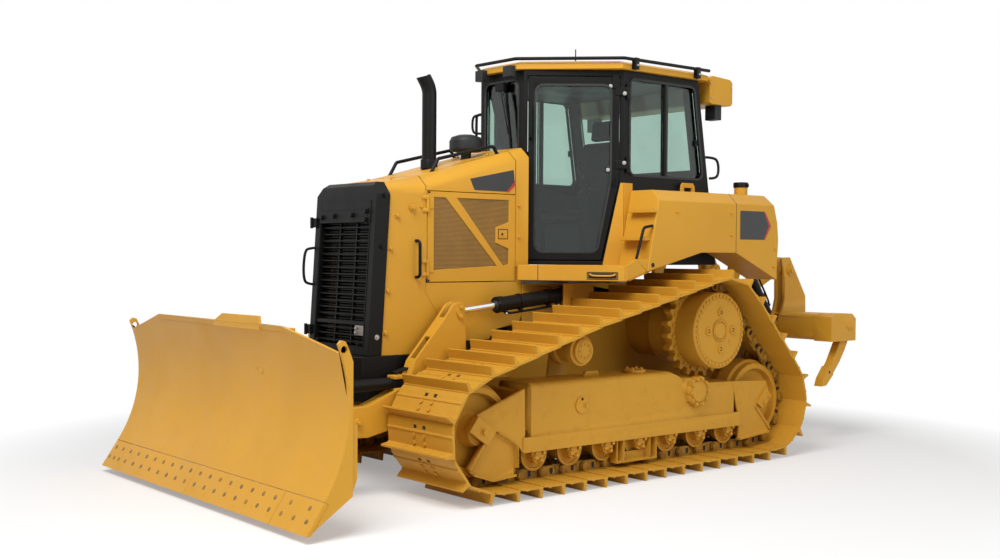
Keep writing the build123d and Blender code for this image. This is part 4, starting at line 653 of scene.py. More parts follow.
def perforated_sheet():
    """Painted sheet pierced all over with small round holes, drawn as dark dots of painted shade seen through
    them.
    """
    material, tree, shader, place = blank_material("Perforated sheet", paint().yellow, 0.5)
    # holes in rows along X and Z; the sheet stands upright, so Y is left out of the pattern
    rows = tree.nodes.new("ShaderNodeMapping")
    rows.inputs["Scale"].default_value = (HOLES_PER_METRE, 0.0001, HOLES_PER_METRE)
    tree.links.new(place, rows.inputs["Vector"])
    solid = spread(tree, cells(tree, rows.outputs["Vector"], 1.0, randomness=0.0), 0.38, 0.44)
    tone = spread(tree, noise(tree, place, 6.0, 4.0), 0.3, 0.7)
    metal = blend(tree, tone, shade(paint().yellow, 0.62), shade(paint().yellow, 0.74))
    # the dark dots at the holes are painted shade seen through the sheet
    tree.links.new(blend(tree, solid, (0.030, 0.014, 0.005), metal), shader.inputs["Base Color"])
    bump(tree, shader, solid, 0.6, 0.0015)
    return material


def lamp_lens():
    """Clear moulded lens with fine upright ribs, whose light and dark stripes are painted glints."""
    material, tree, shader, place = blank_material("Lamp lens", (0.16, 0.165, 0.165), 0.12)
    ribs = waves(tree, place, "Y", 40.0)
    # stripes along the ribs in the colour: painted glints through the moulded ribs
    tree.links.new(blend(tree, ribs, (0.10, 0.105, 0.105), (0.22, 0.225, 0.225)), shader.inputs["Base Color"])
    shader.inputs["Coat Weight"].default_value = 0.6
    bump(tree, shader, ribs, 0.3, 0.001)
    return material


def painted_bolts():
    """Yellow paint rubbed thin on the heads that the soil passes over."""
    material, tree, shader, place = blank_material("Worn bolt heads", shade(paint().yellow, 0.55), 0.5)
    mottle(tree, shader, place, 30.0, 5.0, shade(paint().yellow, 0.5), (0.10, 0.075, 0.045), 0.4, 0.65)
    bump(tree, shader, noise(tree, place, 250.0, 3.0), 0.1, 0.001)
    return material


def badge_panel():
    """The blank dark panel of a badge."""
    return badge_film("Badge film", (0.020, 0.021, 0.023))


def badge_stripe():
    """The plain stripe along a badge's edge."""
    return badge_film("Badge stripe film", paint().badge_red)


FINISHES = {
    "yellow": yellow_paint, "black": black_paint, "gear": running_gear_paint, "chain": chain_finish,
    "chrome": chrome_finish, "steel": bare_steel, "worn_bolts": painted_bolts, "cast": cast_iron,
    "rubber": rubber, "plastic": moulded_plastic, "glass": tinted_glass, "cloth": woven_cloth,
    "dark": near_black_and_painted_shade, "screen": perforated_sheet, "badge": badge_panel, "badge_red": badge_stripe,
    "lens": lamp_lens,
}
made = {}


def finish(look):
    """The one shared material of a named finish, made when it is first asked for."""
    if look not in made:
        made[look] = FINISHES[look]()
    return made[look]


# ---- tracks -----------------------------------------------------------------------------------
# x, z and pin radius of the wheels inside a track, in running order
IDLER_PIN_R = 0.340
TRACK_WHEELS = ((1.440, 0.455, IDLER_PIN_R), (0.470, 0.945, 0.150), (-0.890, 1.047, 0.368),
                (-1.475, 0.455, IDLER_PIN_R))
# heights from the pin line: the grouser's tip, the plate's two faces and the rails' running face
PIN_TO_TIP = 0.115
PLATE_OUTER, PLATE_INNER = 0.050, 0.036
RAIL_DEPTH = 0.040
# across the track from its middle: the chain's rails, the shoe's bolts and the edges of its mud holes
RAIL_OFFSET, RAIL_SHIFT, RAIL_THICK = 0.088, 0.011, 0.021
SHOE_BOLT_Y, HOLE_INNER_Y, HOLE_OUTER_Y = 0.056, 0.030, 0.068
SHOE_BOLT_X = (0.072, 0.124)
LINK_BOSS_FACE, LINK_PIN_FACE = RAIL_OFFSET + 0.0315, RAIL_OFFSET + 0.029


def pin_places(count):
    """The (x, z) places of the link pins, evenly along the pin line."""
    headings = []
    for i, (x0, z0, r0) in enumerate(TRACK_WHEELS):
        x1, z1, r1 = TRACK_WHEELS[(i + 1) % len(TRACK_WHEELS)]
        headings.append(atan2(z1 - z0, x1 - x0) - asin((r1 - r0) / hypot(x1 - x0, z1 - z0)))
    stretches = []
    for i, (x, z, r) in enumerate(TRACK_WHEELS):
        arrive, leave = headings[i - 1], headings[i]
        turn = (leave - arrive) % (2 * pi)
        stretches.append((r * turn, lambda s, x=x, z=z, r=r, a=arrive:
                          (x + r * cos(a - pi / 2 + s / r), z + r * sin(a - pi / 2 + s / r))))
        x1, z1, r1 = TRACK_WHEELS[(i + 1) % len(TRACK_WHEELS)]
        run = (hypot(x1 - x, z1 - z) ** 2 - (r1 - r) ** 2) ** 0.5
        start = (x + r * sin(leave), z - r * cos(leave))
        stretches.append((run, lambda s, p=start, a=leave: (p[0] + s * cos(a), p[1] + s * sin(a))))
    total = sum(length for length, _ in stretches)
    places = []
    for k in range(count):
        s = k * total / count
        for length, at in stretches:
            if s <= length:
                places.append(at(s))
                break
            s -= length
    return places


def cut(bm, place, normal):
    """Adds edges where a plane crosses the shape."""
    bmesh.ops.bisect_plane(bm, geom=bm.verts[:] + bm.edges[:] + bm.faces[:], dist=WELD, plane_co=place,
                           plane_no=normal)


def shoe_shape(pitch, width):
    """One track shoe, along X: a ribbed plate with one grouser, two mud holes and four bolts."""
    ridge, lip = pitch - 0.052, pitch + 0.027
    outline = [(0.006, PLATE_INNER), (0.006, 0.045), (0.013, 0.052), (0.019, PIN_TO_TIP - 0.003),
               (0.022, PIN_TO_TIP), (0.032, PIN_TO_TIP), (0.035, PIN_TO_TIP - 0.003), (0.042, 0.060),
               (0.050, PLATE_OUTER), (ridge - 0.012, PLATE_OUTER), (ridge - 0.004, PLATE_OUTER + 0.006),
               (ridge + 0.004, PLATE_OUTER + 0.005), (ridge + 0.012, PLATE_OUTER - 0.003),
               (pitch - 0.006, 0.045), (lip, 0.034), (lip, 0.028), (pitch - 0.020, 0.030)]
    bm = bmesh.new()
    plate = prism(outline, width)
    half = width / 2
    # lines across the plate that bound the two mud holes
    slot_x = (ridge + 0.016, pitch - 0.010)
    slot_y = (half - HOLE_OUTER_Y, half - HOLE_INNER_Y, half + HOLE_INNER_Y, half + HOLE_OUTER_Y)
    for x in slot_x:
        cut(plate, (x, 0, 0), (1, 0, 0))
    for y in slot_y:
        cut(plate, (0, 0, y), (0, 0, 1))
    holes = []
    for face in plate.faces:
        c = face.calc_center_median()
        inside = slot_x[0] < c.x < slot_x[1] and (slot_y[0] < c.z < slot_y[1] or slot_y[2] < c.z < slot_y[3])
        if inside and abs(face.normal.y) > 0.8 and c.y > PLATE_INNER:
            holes.append(face)
    # the mud holes are shallow insets with dark floors: painted shade where the real holes are open
    bmesh.ops.inset_individual(plate, faces=holes, thickness=0.0015, depth=-0.006)
    for face in holes:
        face.material_index = ACCENT
    add(bm, plate, Matrix(((1, 0, 0, 0), (0, 0, 1, -half), (0, 1, 0, 0), (0, 0, 0, 1))))
    places = [Matrix.Translation((x, side * SHOE_BOLT_Y, PLATE_OUTER - 0.001))
              for side in (-1, 1) for x in SHOE_BOLT_X]
    stamp(bm, hex_bolt(track_sizes().bolt, 0.010, washer=False), places)
    bmesh.ops.recalc_face_normals(bm, faces=bm.faces[:])
    return bm


def link_shape(pitch, side):
    """One chain link beside its pin line: two plates that overlap at the pins, each with an arched window
    drawn as a thin dark patch, painted shade where the link is open.
    """
    bm = bmesh.new()
    skin = 0.0009
    for shift, from_x, to_x, window in ((-RAIL_SHIFT * side, -0.034, pitch * 0.58, 0.064),
                                        (RAIL_SHIFT * side, pitch * 0.42, pitch + 0.034, 0.111)):
        outline = [(from_x, -0.008), (from_x + 0.012, -0.030), (from_x + 0.034, -RAIL_DEPTH),
                   (to_x - 0.034, -RAIL_DEPTH), (to_x - 0.012, -0.030), (to_x, -0.008), (to_x, 0.012),
                   (to_x - 0.014, 0.030), (to_x - 0.030, PLATE_INNER), (from_x + 0.030, PLATE_INNER),
                   (from_x + 0.014, 0.030), (from_x, 0.012)]
        at = side * RAIL_OFFSET + shift
        add(bm, prism(outline, RAIL_THICK, 0.003, 1), side_on((0, at - RAIL_THICK / 2, 0)))
        # each window is a thin dark patch on the plate: painted shade where the link is open
        arch = [(window, -0.023), (window + 0.028, -0.023), (window + 0.028, 0.006), (window + 0.021, 0.019),
                (window + 0.007, 0.019), (window, 0.006)]
        face = at + side * 0.0104
        add(bm, prism(arch, skin), side_on((0, min(face, face + side * skin), 0)), ACCENT)
    boss = turned([(0.016, 0.0), (0.016, 0.003), (0.024, 0.003), (0.031, 0.0), (0.031, -0.006)], 14)
    add(bm, boss, facing((0, side, 0), (0, side * LINK_BOSS_FACE, 0)))
    add(bm, drum(0.0165, 0.008, 14, 0.0015), facing((0, side, 0), (0, side * LINK_PIN_FACE, 0)))
    return bm


def loop_places(count):
    """For each shoe: its place and direction along the loop, and its pitch."""
    pins = pin_places(count)
    places = []
    for k, (px, pz) in enumerate(pins):
        qx, qz = pins[(k + 1) % count]
        pitch = hypot(qx - px, qz - pz)
        tx, tz = (qx - px) / pitch, (qz - pz) / pitch
        # local X along the track, Y across, Z away from the inside
        turn = Matrix(((tx, 0, tz, px), (0, 1, 0, 0), (tz, 0, -tx, pz), (0, 0, 0, 1)))
        places.append((turn, pitch))
    return places


class DOZER_OT_tracks(bpy.types.Operator):
    """Builds both tracks: shoes with grousers and bolts, and the link chains inside them"""

    bl_idname = "dozer.tracks"
    bl_label = "Tracks"

    def execute(self, context):
        sizes = track_sizes()
        places = loop_places(sizes.shoe_count)
        pitch = sum(p for _, p in places) / len(places)
        for side, name in SIDES:
            middle = Matrix.Translation((0, side * sizes.gauge / 2, 0))
            # each shape is stretched to its own pitch, and the loop's turn is never left mirrored
            along = [middle @ turn @ Matrix.Diagonal((p / pitch, -1 if turn.is_negative else 1, 1, 1))
                     for turn, p in places]
            shoes = bmesh.new()
            stamp(shoes, shoe_shape(pitch, sizes.shoe_width), along)
            piece("track_shoes_" + name, shoes, "chassis", ("gear", "dark"),
                  replaces=("track_" + name,), weighted=False)
            links = bmesh.new()
            for rail in (-1, 1):
                stamp(links, link_shape(pitch, rail), along)
            piece("track_chain_" + name, links, "chassis", ("chain", "dark"),
                  weighted=False)
        return {"FINISHED"}


# ---- bodywork ---------------------------------------------------------------------------------
# node, body, finish, material slot, edge rounding in metres; "{hand}" stands for left and for right
PLAIN_SURFACES = (
    ("main_frame", "chassis", "yellow", "yellow_paint", 0.003),
    ("pivot_shaft", "chassis", "yellow", "steel", 0.003),
    ("nose_beams", "chassis", "black", "black_paint", 0.006),
    ("engine", "chassis", "cast", "cast", 0.004),
    # the radiator takes the near-black finish rather than its casting's colour: its own black, deepened as
    # painted shade behind the guard
    ("radiator", "chassis", "dark", "cast", 0.002),
    ("hood", "chassis", "yellow", "yellow_paint", 0.0),
    ("radiator_guard", "chassis", "black", "black_paint", 0.006),
    ("grille", "chassis", "black", "black_paint", 0.0015),
    ("exhaust_stack", "chassis", "black", "black_paint", 0.0),
    ("air_precleaner", "chassis", "plastic", "plastic", 0.0),
    ("handrails", "chassis", "black", "black_paint", 0.0),
    ("cab_frame", "chassis", "black", "black_paint", 0.006),
    ("cab_roof", "chassis", "yellow", "yellow_paint", 0.006),
    ("roof_rail", "chassis", "black", "black_paint", 0.0),
    ("roof_cooler", "chassis", "yellow", "yellow_paint", 0.006),
    ("work_lamps", "chassis", "plastic", "plastic", 0.004),
    ("antenna", "chassis", "plastic", "plastic", 0.0),
    ("cab_controls", "chassis", "plastic", "plastic", 0.006),
    ("tanks", "chassis", "yellow", "yellow_paint", 0.007),
    ("steps", "chassis", "yellow", "yellow_paint", 0.003),
    ("track_frames", "chassis", "gear", "yellow_paint", 0.0),
    ("idlers", "chassis", "gear", "yellow_paint", 0.003),
    ("track_rollers", "chassis", "gear", "yellow_paint", 0.002),
    ("final_drives", "chassis", "gear", "yellow_paint", 0.003),
    ("engine_door_{hand}", "engine_door_{hand}", "yellow", "yellow_paint", 0.002),
    ("cab_door_{hand}", "cab_door_{hand}", "black", "black_paint", 0.006),
    ("push_frame", "push_frame", "yellow", "yellow_paint", 0.004),
    ("blade_yoke", "blade_yoke", "yellow", "yellow_paint", 0.003),
    ("blade", "blade", "yellow", "yellow_paint", 0.003),
    ("cutting_edges", "blade", "yellow", "yellow_paint", 0.003),
    ("lift_barrel_{hand}", "lift_barrel_{hand}", "black", "black_paint", 0.003),
    ("lift_rod_{hand}", "lift_rod_{hand}", "chrome", "chrome", 0.0),
    ("angle_barrel_{hand}", "angle_barrel_{hand}", "black", "black_paint", 0.002),
    ("angle_rod_{hand}", "angle_rod_{hand}", "chrome", "chrome", 0.0),
    ("tilt_barrel", "tilt_barrel", "black", "black_paint", 0.002),
    ("tilt_rod", "tilt_rod", "chrome", "chrome", 0.0),
    ("ripper_bracket", "chassis", "yellow", "yellow_paint", 0.003),
    ("ripper_arms", "ripper_arms", "yellow", "yellow_paint", 0.004),
    ("ripper_links", "ripper_links", "yellow", "yellow_paint", 0.003),
    ("ripper_beam", "ripper_beam", "yellow", "yellow_paint", 0.0),
    ("ripper_shanks", "ripper_beam", "yellow", "yellow_paint", 0.004),
    ("ripper_barrel_{hand}", "ripper_barrel_{hand}", "black", "black_paint", 0.002),
    ("ripper_rod_{hand}", "ripper_rod_{hand}", "chrome", "chrome", 0.0),
)
GLASS_NODES = ("cab_glass", "door_glass_left", "door_glass_right")


class DOZER_OT_surfaces(bpy.types.Operator):
    """Finishes the frame's own pieces: rounded plate edges and their paint"""

    bl_idname = "dozer.surfaces"
    bl_label = "Surfaces"

    def execute(self, context):
        for node, body, look, slot, width in PLAIN_SURFACES:
            for hand in ("left", "right") if "{hand}" in node else ("",):
                finished(node.format(hand=hand), body.format(hand=hand), look, width)
        for node in GLASS_NODES:
            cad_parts[node].data.materials.clear()
            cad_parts[node].data.materials.append(finish("glass"))
        return {"FINISHED"}


# ---- fasteners and small parts ----------------------------------------------------------------
# ways out of the machine's left side, its front and its top
OUT, AHEAD, UP = (0, 1, 0), (1, 0, 0), (0, 0, 1)
# how far a fitted part reaches into the surface it lies on
SUNK = 0.0005
JOINT_WIDTH, JOINT_RISE = 0.005, 0.0006
# the left cab door's front foot, and the ways back along it and out of it
DOOR_FOOT = Vector((0.345, 0.262, 0))
DOOR_RUN, DOOR_OUT = Vector((-0.585, 0.500, 0)).normalized(), Vector((0.500, 0.585, 0)).normalized()


def heads(bm, width, places, height=None, washer=True):
    """Hexagon heads, one on each place; a place stands its Z away from the surface."""
    stamp(bm, hex_bolt(width, height, washer), places)


def on_left(x, z, y):
    """A place on the machine's left side that faces outwards."""
    return facing(OUT, (x, y, z))


def strip(bm, start, end, width, height, up, material=None):
    """A narrow bar from one place to another, lying on a surface whose outward way is up."""
    start, end, up = Vector(start), Vector(end), Vector(up).normalized()
    along = (end - start).normalized()
    across = up.cross(along)
    turn = Matrix((along, across, up)).transposed().to_4x4()
    add(bm, block((0, -width / 2, -SUNK), ((end - start).length, width / 2, height)),
        Matrix.Translation(start) @ turn, material)


def joint_line(bm, start, end, up):
    """A thin dark joint between two panels."""
    strip(bm, start, end, JOINT_WIDTH, JOINT_RISE, up, ACCENT)


def outline_strips(bm, points, width, height, up, material=None):
    """Narrow bars along every side of an outline."""
    for start, end in zip(points, points[1:] + points[:1]):
        strip(bm, start, end, width, height, up, material)


def corner_web(corner, along, up, radius):
    """The (x, y) outline that rounds one inside corner, given the two ways out of the corner."""
    steps = 6
    corner, along, up = Vector(corner), Vector(along).normalized(), Vector(up).normalized()
    half = along.angle(up) / 2
    reach = radius / sin(half) * cos(half)
    centre = corner + (along + up).normalized() * (radius / sin(half))
    first, last = corner + along * reach - centre, corner + up * reach - centre
    sweep = first.angle_signed(last)
    arc = [centre + Matrix.Rotation(-sweep * k / steps, 2) @ first for k in range(steps + 1)]
    return [tuple(corner - (along + up) * 0.001)] + [tuple(p) for p in arc]


def corner_webs(outline, radius):
    """The web in every corner of an outline."""
    count = len(outline)
    return [corner_web(corner, Vector(outline[k - 1]) - Vector(corner),
                       Vector(outline[(k + 1) % count]) - Vector(corner), radius)
            for k, corner in enumerate(outline)]


def rounded_corners(bm, outline, radius, thick, place):
    """Fills the corners of an opening so that it reads as a pressed, round-cornered one."""
    for web in corner_webs(outline, radius):
        add(bm, prism(web, thick), place)


def rounded(outline, radius):
    """An outline with its corners rounded."""
    return [point for web in corner_webs(outline, radius) for point in web[1:]]


def on_door(along, height, out):
    """A place on the left cab door's wall: back along it from its front edge, up, and outwards."""
    return DOOR_FOOT + DOOR_RUN * along + DOOR_OUT * out + Vector((0, 0, height))


def door_turn(out):
    """The matrix that lays an (along, height) outline on the left cab door's wall, raised outwards."""
    turn = Matrix((DOOR_RUN, Vector(UP), DOOR_OUT)).transposed().to_4x4()
    return Matrix.Translation(on_door(0, 0, out)) @ turn


def badges(name, panel, stripe, y):
    """A blank panel with a plain stripe on each side of the machine, as (x, z) outlines y from its middle."""
    bm = bmesh.new()
    add(bm, prism(panel, 0.0018, 0.0005, 1), side_on((0, y - 0.0002, 0)))
    add(bm, prism(stripe, 0.0010), side_on((0, y + 0.0012, 0)), ACCENT)
    both_sides(bm)
    piece(name, bm, "chassis", ("badge", "badge_red"))


# ---- running gear -----------------------------------------------------------------------------
ROLLER_FIRST_X, ROLLER_STEP, ROLLER_COUNT = 0.925, 0.336, 7
ROLLER_Z, ROLLER_CAP_FACE = 0.255, 1.1045
# y of the outer faces of the track frame, its end guard, the idler's block and the carrier roller
FRAME_FACE, GUARD_FACE, IDLER_BLOCK_FACE, CARRIER_FACE = 1.118, 1.124, 1.146, 1.0875
PIVOT_PLACE, CARRIER_PLACE = (-0.684, FRAME_FACE - 0.001, 0.584), (0.470, CARRIER_FACE, 0.945)
ADJUSTER_PLACE, ADJUSTER_THICK = Vector((-0.150, 0.975, 0.7495)), 0.022
LOBE_HEIGHT = 0.036
# x and z of the drive's hub, y of its end face, its rim and the sprocket's bolted ring
HUB_PLACE, HUB_FACE, HUB_RIM_FACE, SPROCKET_FACE = (-0.890, 1.047), 1.182, 1.176, 0.9755
HUB_RIM_BOLTS, SPROCKET_BOLTS = 40, 23


class DOZER_OT_running_gear(bpy.types.Operator):
    """Fits the covers, caps and bolts of the track frames, rollers and final drives"""

    bl_idname = "dozer.running_gear"
    bl_label = "Running gear"

    def execute(self, context):
        bm = bmesh.new()
        # inspection cover, adjuster cover on top, and the bolt in the idler's block
        add(bm, drum(0.058, 0.012, 36, 0.003), on_left(0.533, 0.569, FRAME_FACE))
        heads(bm, 0.022, [on_left(0.503, 0.566, FRAME_FACE + 0.012)])
        add(bm, drum(0.010, 0.004, 12), on_left(0.533, 0.612, FRAME_FACE + 0.011), ACCENT)
        add(bm, drum(0.088, ADJUSTER_THICK, 36, 0.006), Matrix.Translation(ADJUSTER_PLACE))
        on_adjuster = ADJUSTER_PLACE + Vector((0, 0, ADJUSTER_THICK))
        heads(bm, 0.024, circle_places(on_adjuster, UP, 0.055, 4, 0.5))
        add(bm, drum(0.011, 0.004, 12), facing((0, 0.7, 0.7), (-0.420, 1.097, 0.725)), ACCENT)
        heads(bm, 0.030, [on_left(1.443, 0.461, IDLER_BLOCK_FACE)])
        # the tab at the rear end, with its two bolts
        tab = prism(((-1.415, 0.440), (-1.535, 0.556), (-1.592, 0.480), (-1.478, 0.390)), 0.020, 0.003)
        add(bm, tab, side_on((0, GUARD_FACE - 0.001, 0)))
        heads(bm, 0.024, [on_left(x, z, GUARD_FACE + 0.019) for x, z in ((-1.553, 0.492), (-1.490, 0.440))])
        # pivot cap: bolts in a ring, each on its own lobe
        lobes = circle_places(PIVOT_PLACE, OUT, 0.102, 10)
        stamp(bm, drum(0.021, LOBE_HEIGHT, 14, 0.003), lobes)
        heads(bm, 0.024, [m @ Matrix.Translation((0, 0, LOBE_HEIGHT)) for m in lobes], washer=False)
        # end caps of the bottom rollers
        for k in range(ROLLER_COUNT):
            centre = (ROLLER_FIRST_X - k * ROLLER_STEP, ROLLER_CAP_FACE, ROLLER_Z)
            add(bm, drum(0.036, 0.012, 20, 0.002), facing(OUT, centre))
            lobes = circle_places(centre, OUT, 0.041, 4, 0.4)
            stamp(bm, drum(0.020, 0.012, 12, 0.002), lobes)
            heads(bm, 0.024, [m @ Matrix.Translation((0, 0, 0.012)) for m in lobes], washer=False)
        # carrier roller's cap
        add(bm, ring(0.060, 0.070, 0.004, 36), facing(OUT, CARRIER_PLACE))
        heads(bm, 0.013, circle_places(CARRIER_PLACE, OUT, 0.048, 8), washer=False)
        both_sides(bm)
        piece("track_frame_fittings", bm, "chassis", ("gear", "dark"))
        self.drives()
        return {"FINISHED"}

    def drives(self):
        """The bolts and bosses on the final drives."""
        bm = bmesh.new()
        x, z = HUB_PLACE
        bosses = circle_places((x, HUB_FACE - SUNK, z), OUT, 0.143, 4)
        stamp(bm, ring(0.017, 0.031, 0.012, 24), bosses)
        stamp(bm, drum(0.018, 0.003, 18), bosses, ACCENT)
        heads(bm, 0.019, bosses, 0.008, washer=False)
        add(bm, ring(0.070, 0.080, 0.004, 40), facing(OUT, (x, HUB_FACE - SUNK, z)))
        heads(bm, 0.015, [on_left(x - 0.105, z - 0.085, HUB_FACE)], washer=False)
        rim = circle_places((x, HUB_RIM_FACE - SUNK, z), OUT, 0.268, HUB_RIM_BOLTS)
        heads(bm, 0.019, rim, 0.011, washer=False)
        # a dark disc under each rim bolt
        discs = [m @ Matrix.Rotation(pi / HUB_RIM_BOLTS, 4, "Z") for m in rim]
        stamp(bm, drum(0.006, 0.0015, 8), discs, ACCENT)
        heads(bm, 0.024, circle_places((x, SPROCKET_FACE, z), OUT, 0.316, SPROCKET_BOLTS), washer=False)
        both_sides(bm)
        piece("final_drive_fittings", bm, "chassis", ("gear", "dark"))


# ---- hood and guard ---------------------------------------------------------------------------
# y of the hood's side and of its top's edge, and how far the chamfer between them rises
HOOD_SIDE, HOOD_TOP_SIDE, HOOD_RISE = 0.375, 0.285, 0.076
# the hood's side edge bends here; it falls so many metres a metre behind the bend and ahead of it
HOOD_BEND_X, HOOD_BEND_Z, HOOD_FALL, NOSE_FALL = 1.375, 2.105, 0.261 / 0.983, 0.053 / 0.297
# x of the joints over the hood, and the height where they start
HOOD_JOINTS, HOOD_JOINT_FOOT = (1.357, 0.521), 2.080
# y of the engine door's outer face, and of the screens set into it
DOOR_SKIN, SCREEN_FACE = 0.378, 0.3698
# x and z on the hood's side, width across the flats
HOOD_BOLTS = ((1.604, 1.894, 0.026), (1.661, 1.668, 0.026), (1.683, 1.374, 0.026), (1.701, 1.082, 0.026),
              (1.396, 1.963, 0.017), (0.490, 1.997, 0.017), (0.488, 1.760, 0.017), (0.425, 1.486, 0.017))
# (x, z) outlines of the screens, the badge and its stripe
DOOR_SCREENS = (((1.285, 2.034), (1.180, 2.034), (0.700, 1.542), (1.285, 1.514)),
                ((1.078, 2.034), (0.586, 2.034), (0.586, 1.869), (0.712, 1.829), (0.712, 1.714),
                 (0.586, 1.669), (0.586, 1.558), (0.640, 1.542)))
BADGE = ((0.957, 2.178), (0.541, 2.262), (0.527, 2.150), (0.592, 2.096), (0.916, 2.098))
BADGE_STRIPE = ((0.528, 2.176), (0.527, 2.143), (0.590, 2.093), (0.612, 2.094))


def hood_edge(x):
    """Height of the hood's side edge at x."""
    return HOOD_BEND_Z + (HOOD_BEND_X - x) * (HOOD_FALL if x < HOOD_BEND_X else NOSE_FALL)


def hood_joint(bm, x):
    """A joint line over the hood at x: up the side, over the chamfer and across the top."""
    edge = hood_edge(x)
    top = edge + HOOD_RISE
    joint_line(bm, (x, HOOD_SIDE, HOOD_JOINT_FOOT), (x, HOOD_SIDE, edge), OUT)
    joint_line(bm, (x, HOOD_SIDE, edge), (x, HOOD_TOP_SIDE, top), (0, HOOD_RISE, HOOD_SIDE - HOOD_TOP_SIDE))
    joint_line(bm, (x, HOOD_TOP_SIDE, top), (x, 0, top), UP)


class DOZER_OT_hood(bpy.types.Operator):
    """Fits the hood's bolts, joint lines and blank side badges, and the doors' screens and latches"""

    bl_idname = "dozer.hood"
    bl_label = "Hood"

    def execute(self, context):
        bm = bmesh.new()
        for x, z, width in HOOD_BOLTS:
            heads(bm, width, [on_left(x, z, HOOD_SIDE)])
        add(bm, drum(0.026, 0.008, 24, 0.002), on_left(1.478, 1.956, HOOD_SIDE - SUNK))
        heads(bm, 0.030, [on_left(1.478, 1.956, HOOD_SIDE + 0.0075)])
        for x in HOOD_JOINTS:
            hood_joint(bm, x)
        joint_line(bm, (0.515, HOOD_SIDE, 1.5295), (0.393, HOOD_SIDE, 1.5295), OUT)
        strip(bm, (1.349, HOOD_SIDE, 1.426), (1.349, HOOD_SIDE, 1.452), 0.012, 0.003, OUT, ACCENT)
        both_sides(bm)
        for x, y in ((1.490, 0.150), (1.490, -0.150), (0.640, 0.180), (0.640, -0.180)):
            heads(bm, 0.020, [Matrix.Translation((x, y, hood_edge(x) + HOOD_RISE - 0.001))])
        piece("hood_fittings", bm, "chassis", ("yellow", "dark"))
        badges("side_badges", BADGE, BADGE_STRIPE, HOOD_SIDE)
        for side, name in SIDES:
            self.door(side, name)
        return {"FINISHED"}

    def door(self, side, name):
        """The screens, latch and corner catches of one engine door."""
        body = "engine_door_" + name
        bm = bmesh.new()
        for outline in DOOR_SCREENS:
            add(bm, prism(outline, 0.0016), handed(side) @ side_on((0, SCREEN_FACE, 0)))
        piece("door_screens_" + name, bm, body, ("screen",))
        fittings = bmesh.new()
        plate = ((0.598, 1.744), (0.689, 1.744), (0.689, 1.814), (0.598, 1.814))
        outline_strips(fittings, [(x, DOOR_SKIN, z) for x, z in plate], 0.006, 0.0008, OUT, ACCENT)
        add(fittings, block((0.612, DOOR_SKIN - SUNK, 1.756), (0.676, DOOR_SKIN + 0.0025, 1.802), 0.0012))
        add(fittings, drum(0.009, 0.006, 16, 0.0015), on_left(0.655, 1.779, DOOR_SKIN + 0.002), ACCENT)
        for back, low, high in ((1.318, 2.060, 2.072), (1.322, 1.432, 1.446)):
            catch = block((back, DOOR_SKIN - SUNK, low), (1.340, DOOR_SKIN + 0.002, high), 0.001)
            add(fittings, catch, material=ACCENT)
        piece("door_fittings_" + name, on_side(fittings, side), body, ("yellow", "dark"))


# x and z of the guard's leaning front face, at its foot and its head, and the way out of it
GUARD_FOOT, GUARD_HEAD = (1.850, 0.925), (1.776, 2.100)
GUARD_OUT = (1, 0, 0.063)
# y of the guard's side and of its window's edge
GUARD_SIDE, GUARD_WINDOW_HALF = 0.392, 0.322
# fine slats behind the bars
SLAT_FIRST_Z, SLAT_STEP, SLAT_COUNT = 1.000, 0.0186, 46


def on_guard(y, z, out=0.0):
    """A place on the guard's leaning front face, or ahead of it."""
    rise = (z - GUARD_FOOT[1]) / (GUARD_HEAD[1] - GUARD_FOOT[1])
    return Vector((GUARD_FOOT[0] + (GUARD_HEAD[0] - GUARD_FOOT[0]) * rise + out, y, z))


def guard_bar(bm, half_width, half_height, thick, z, out, bevel=0.0):
    """A bar across the guard that lies on its leaning face."""
    up = Vector((GUARD_HEAD[0] - GUARD_FOOT[0], 0, GUARD_HEAD[1] - GUARD_FOOT[1])).normalized()
    across = Vector(OUT)
    turn = Matrix((across, up, across.cross(up))).transposed().to_4x4()
    bar = block((-half_width, -half_height, 0.0), (half_width, half_height, thick), bevel)
    add(bm, bar, Matrix.Translation(on_guard(0, z, out)) @ turn)


def guard_heads(bm, width, places, out, washer=True):
    """Bolts on the guard's front at (y, z) places."""
    heads(bm, width, [facing(GUARD_OUT, on_guard(y, z, out)) for y, z in places], washer=washer)


def guard_side_heads(bm, width, places):
    """Bolts on both of the guard's sides at (x, z) places."""
    for side in (-1, 1):
        for x, z in places:
            heads(bm, width, [facing((0, side, 0), (x, side * GUARD_SIDE, z))])


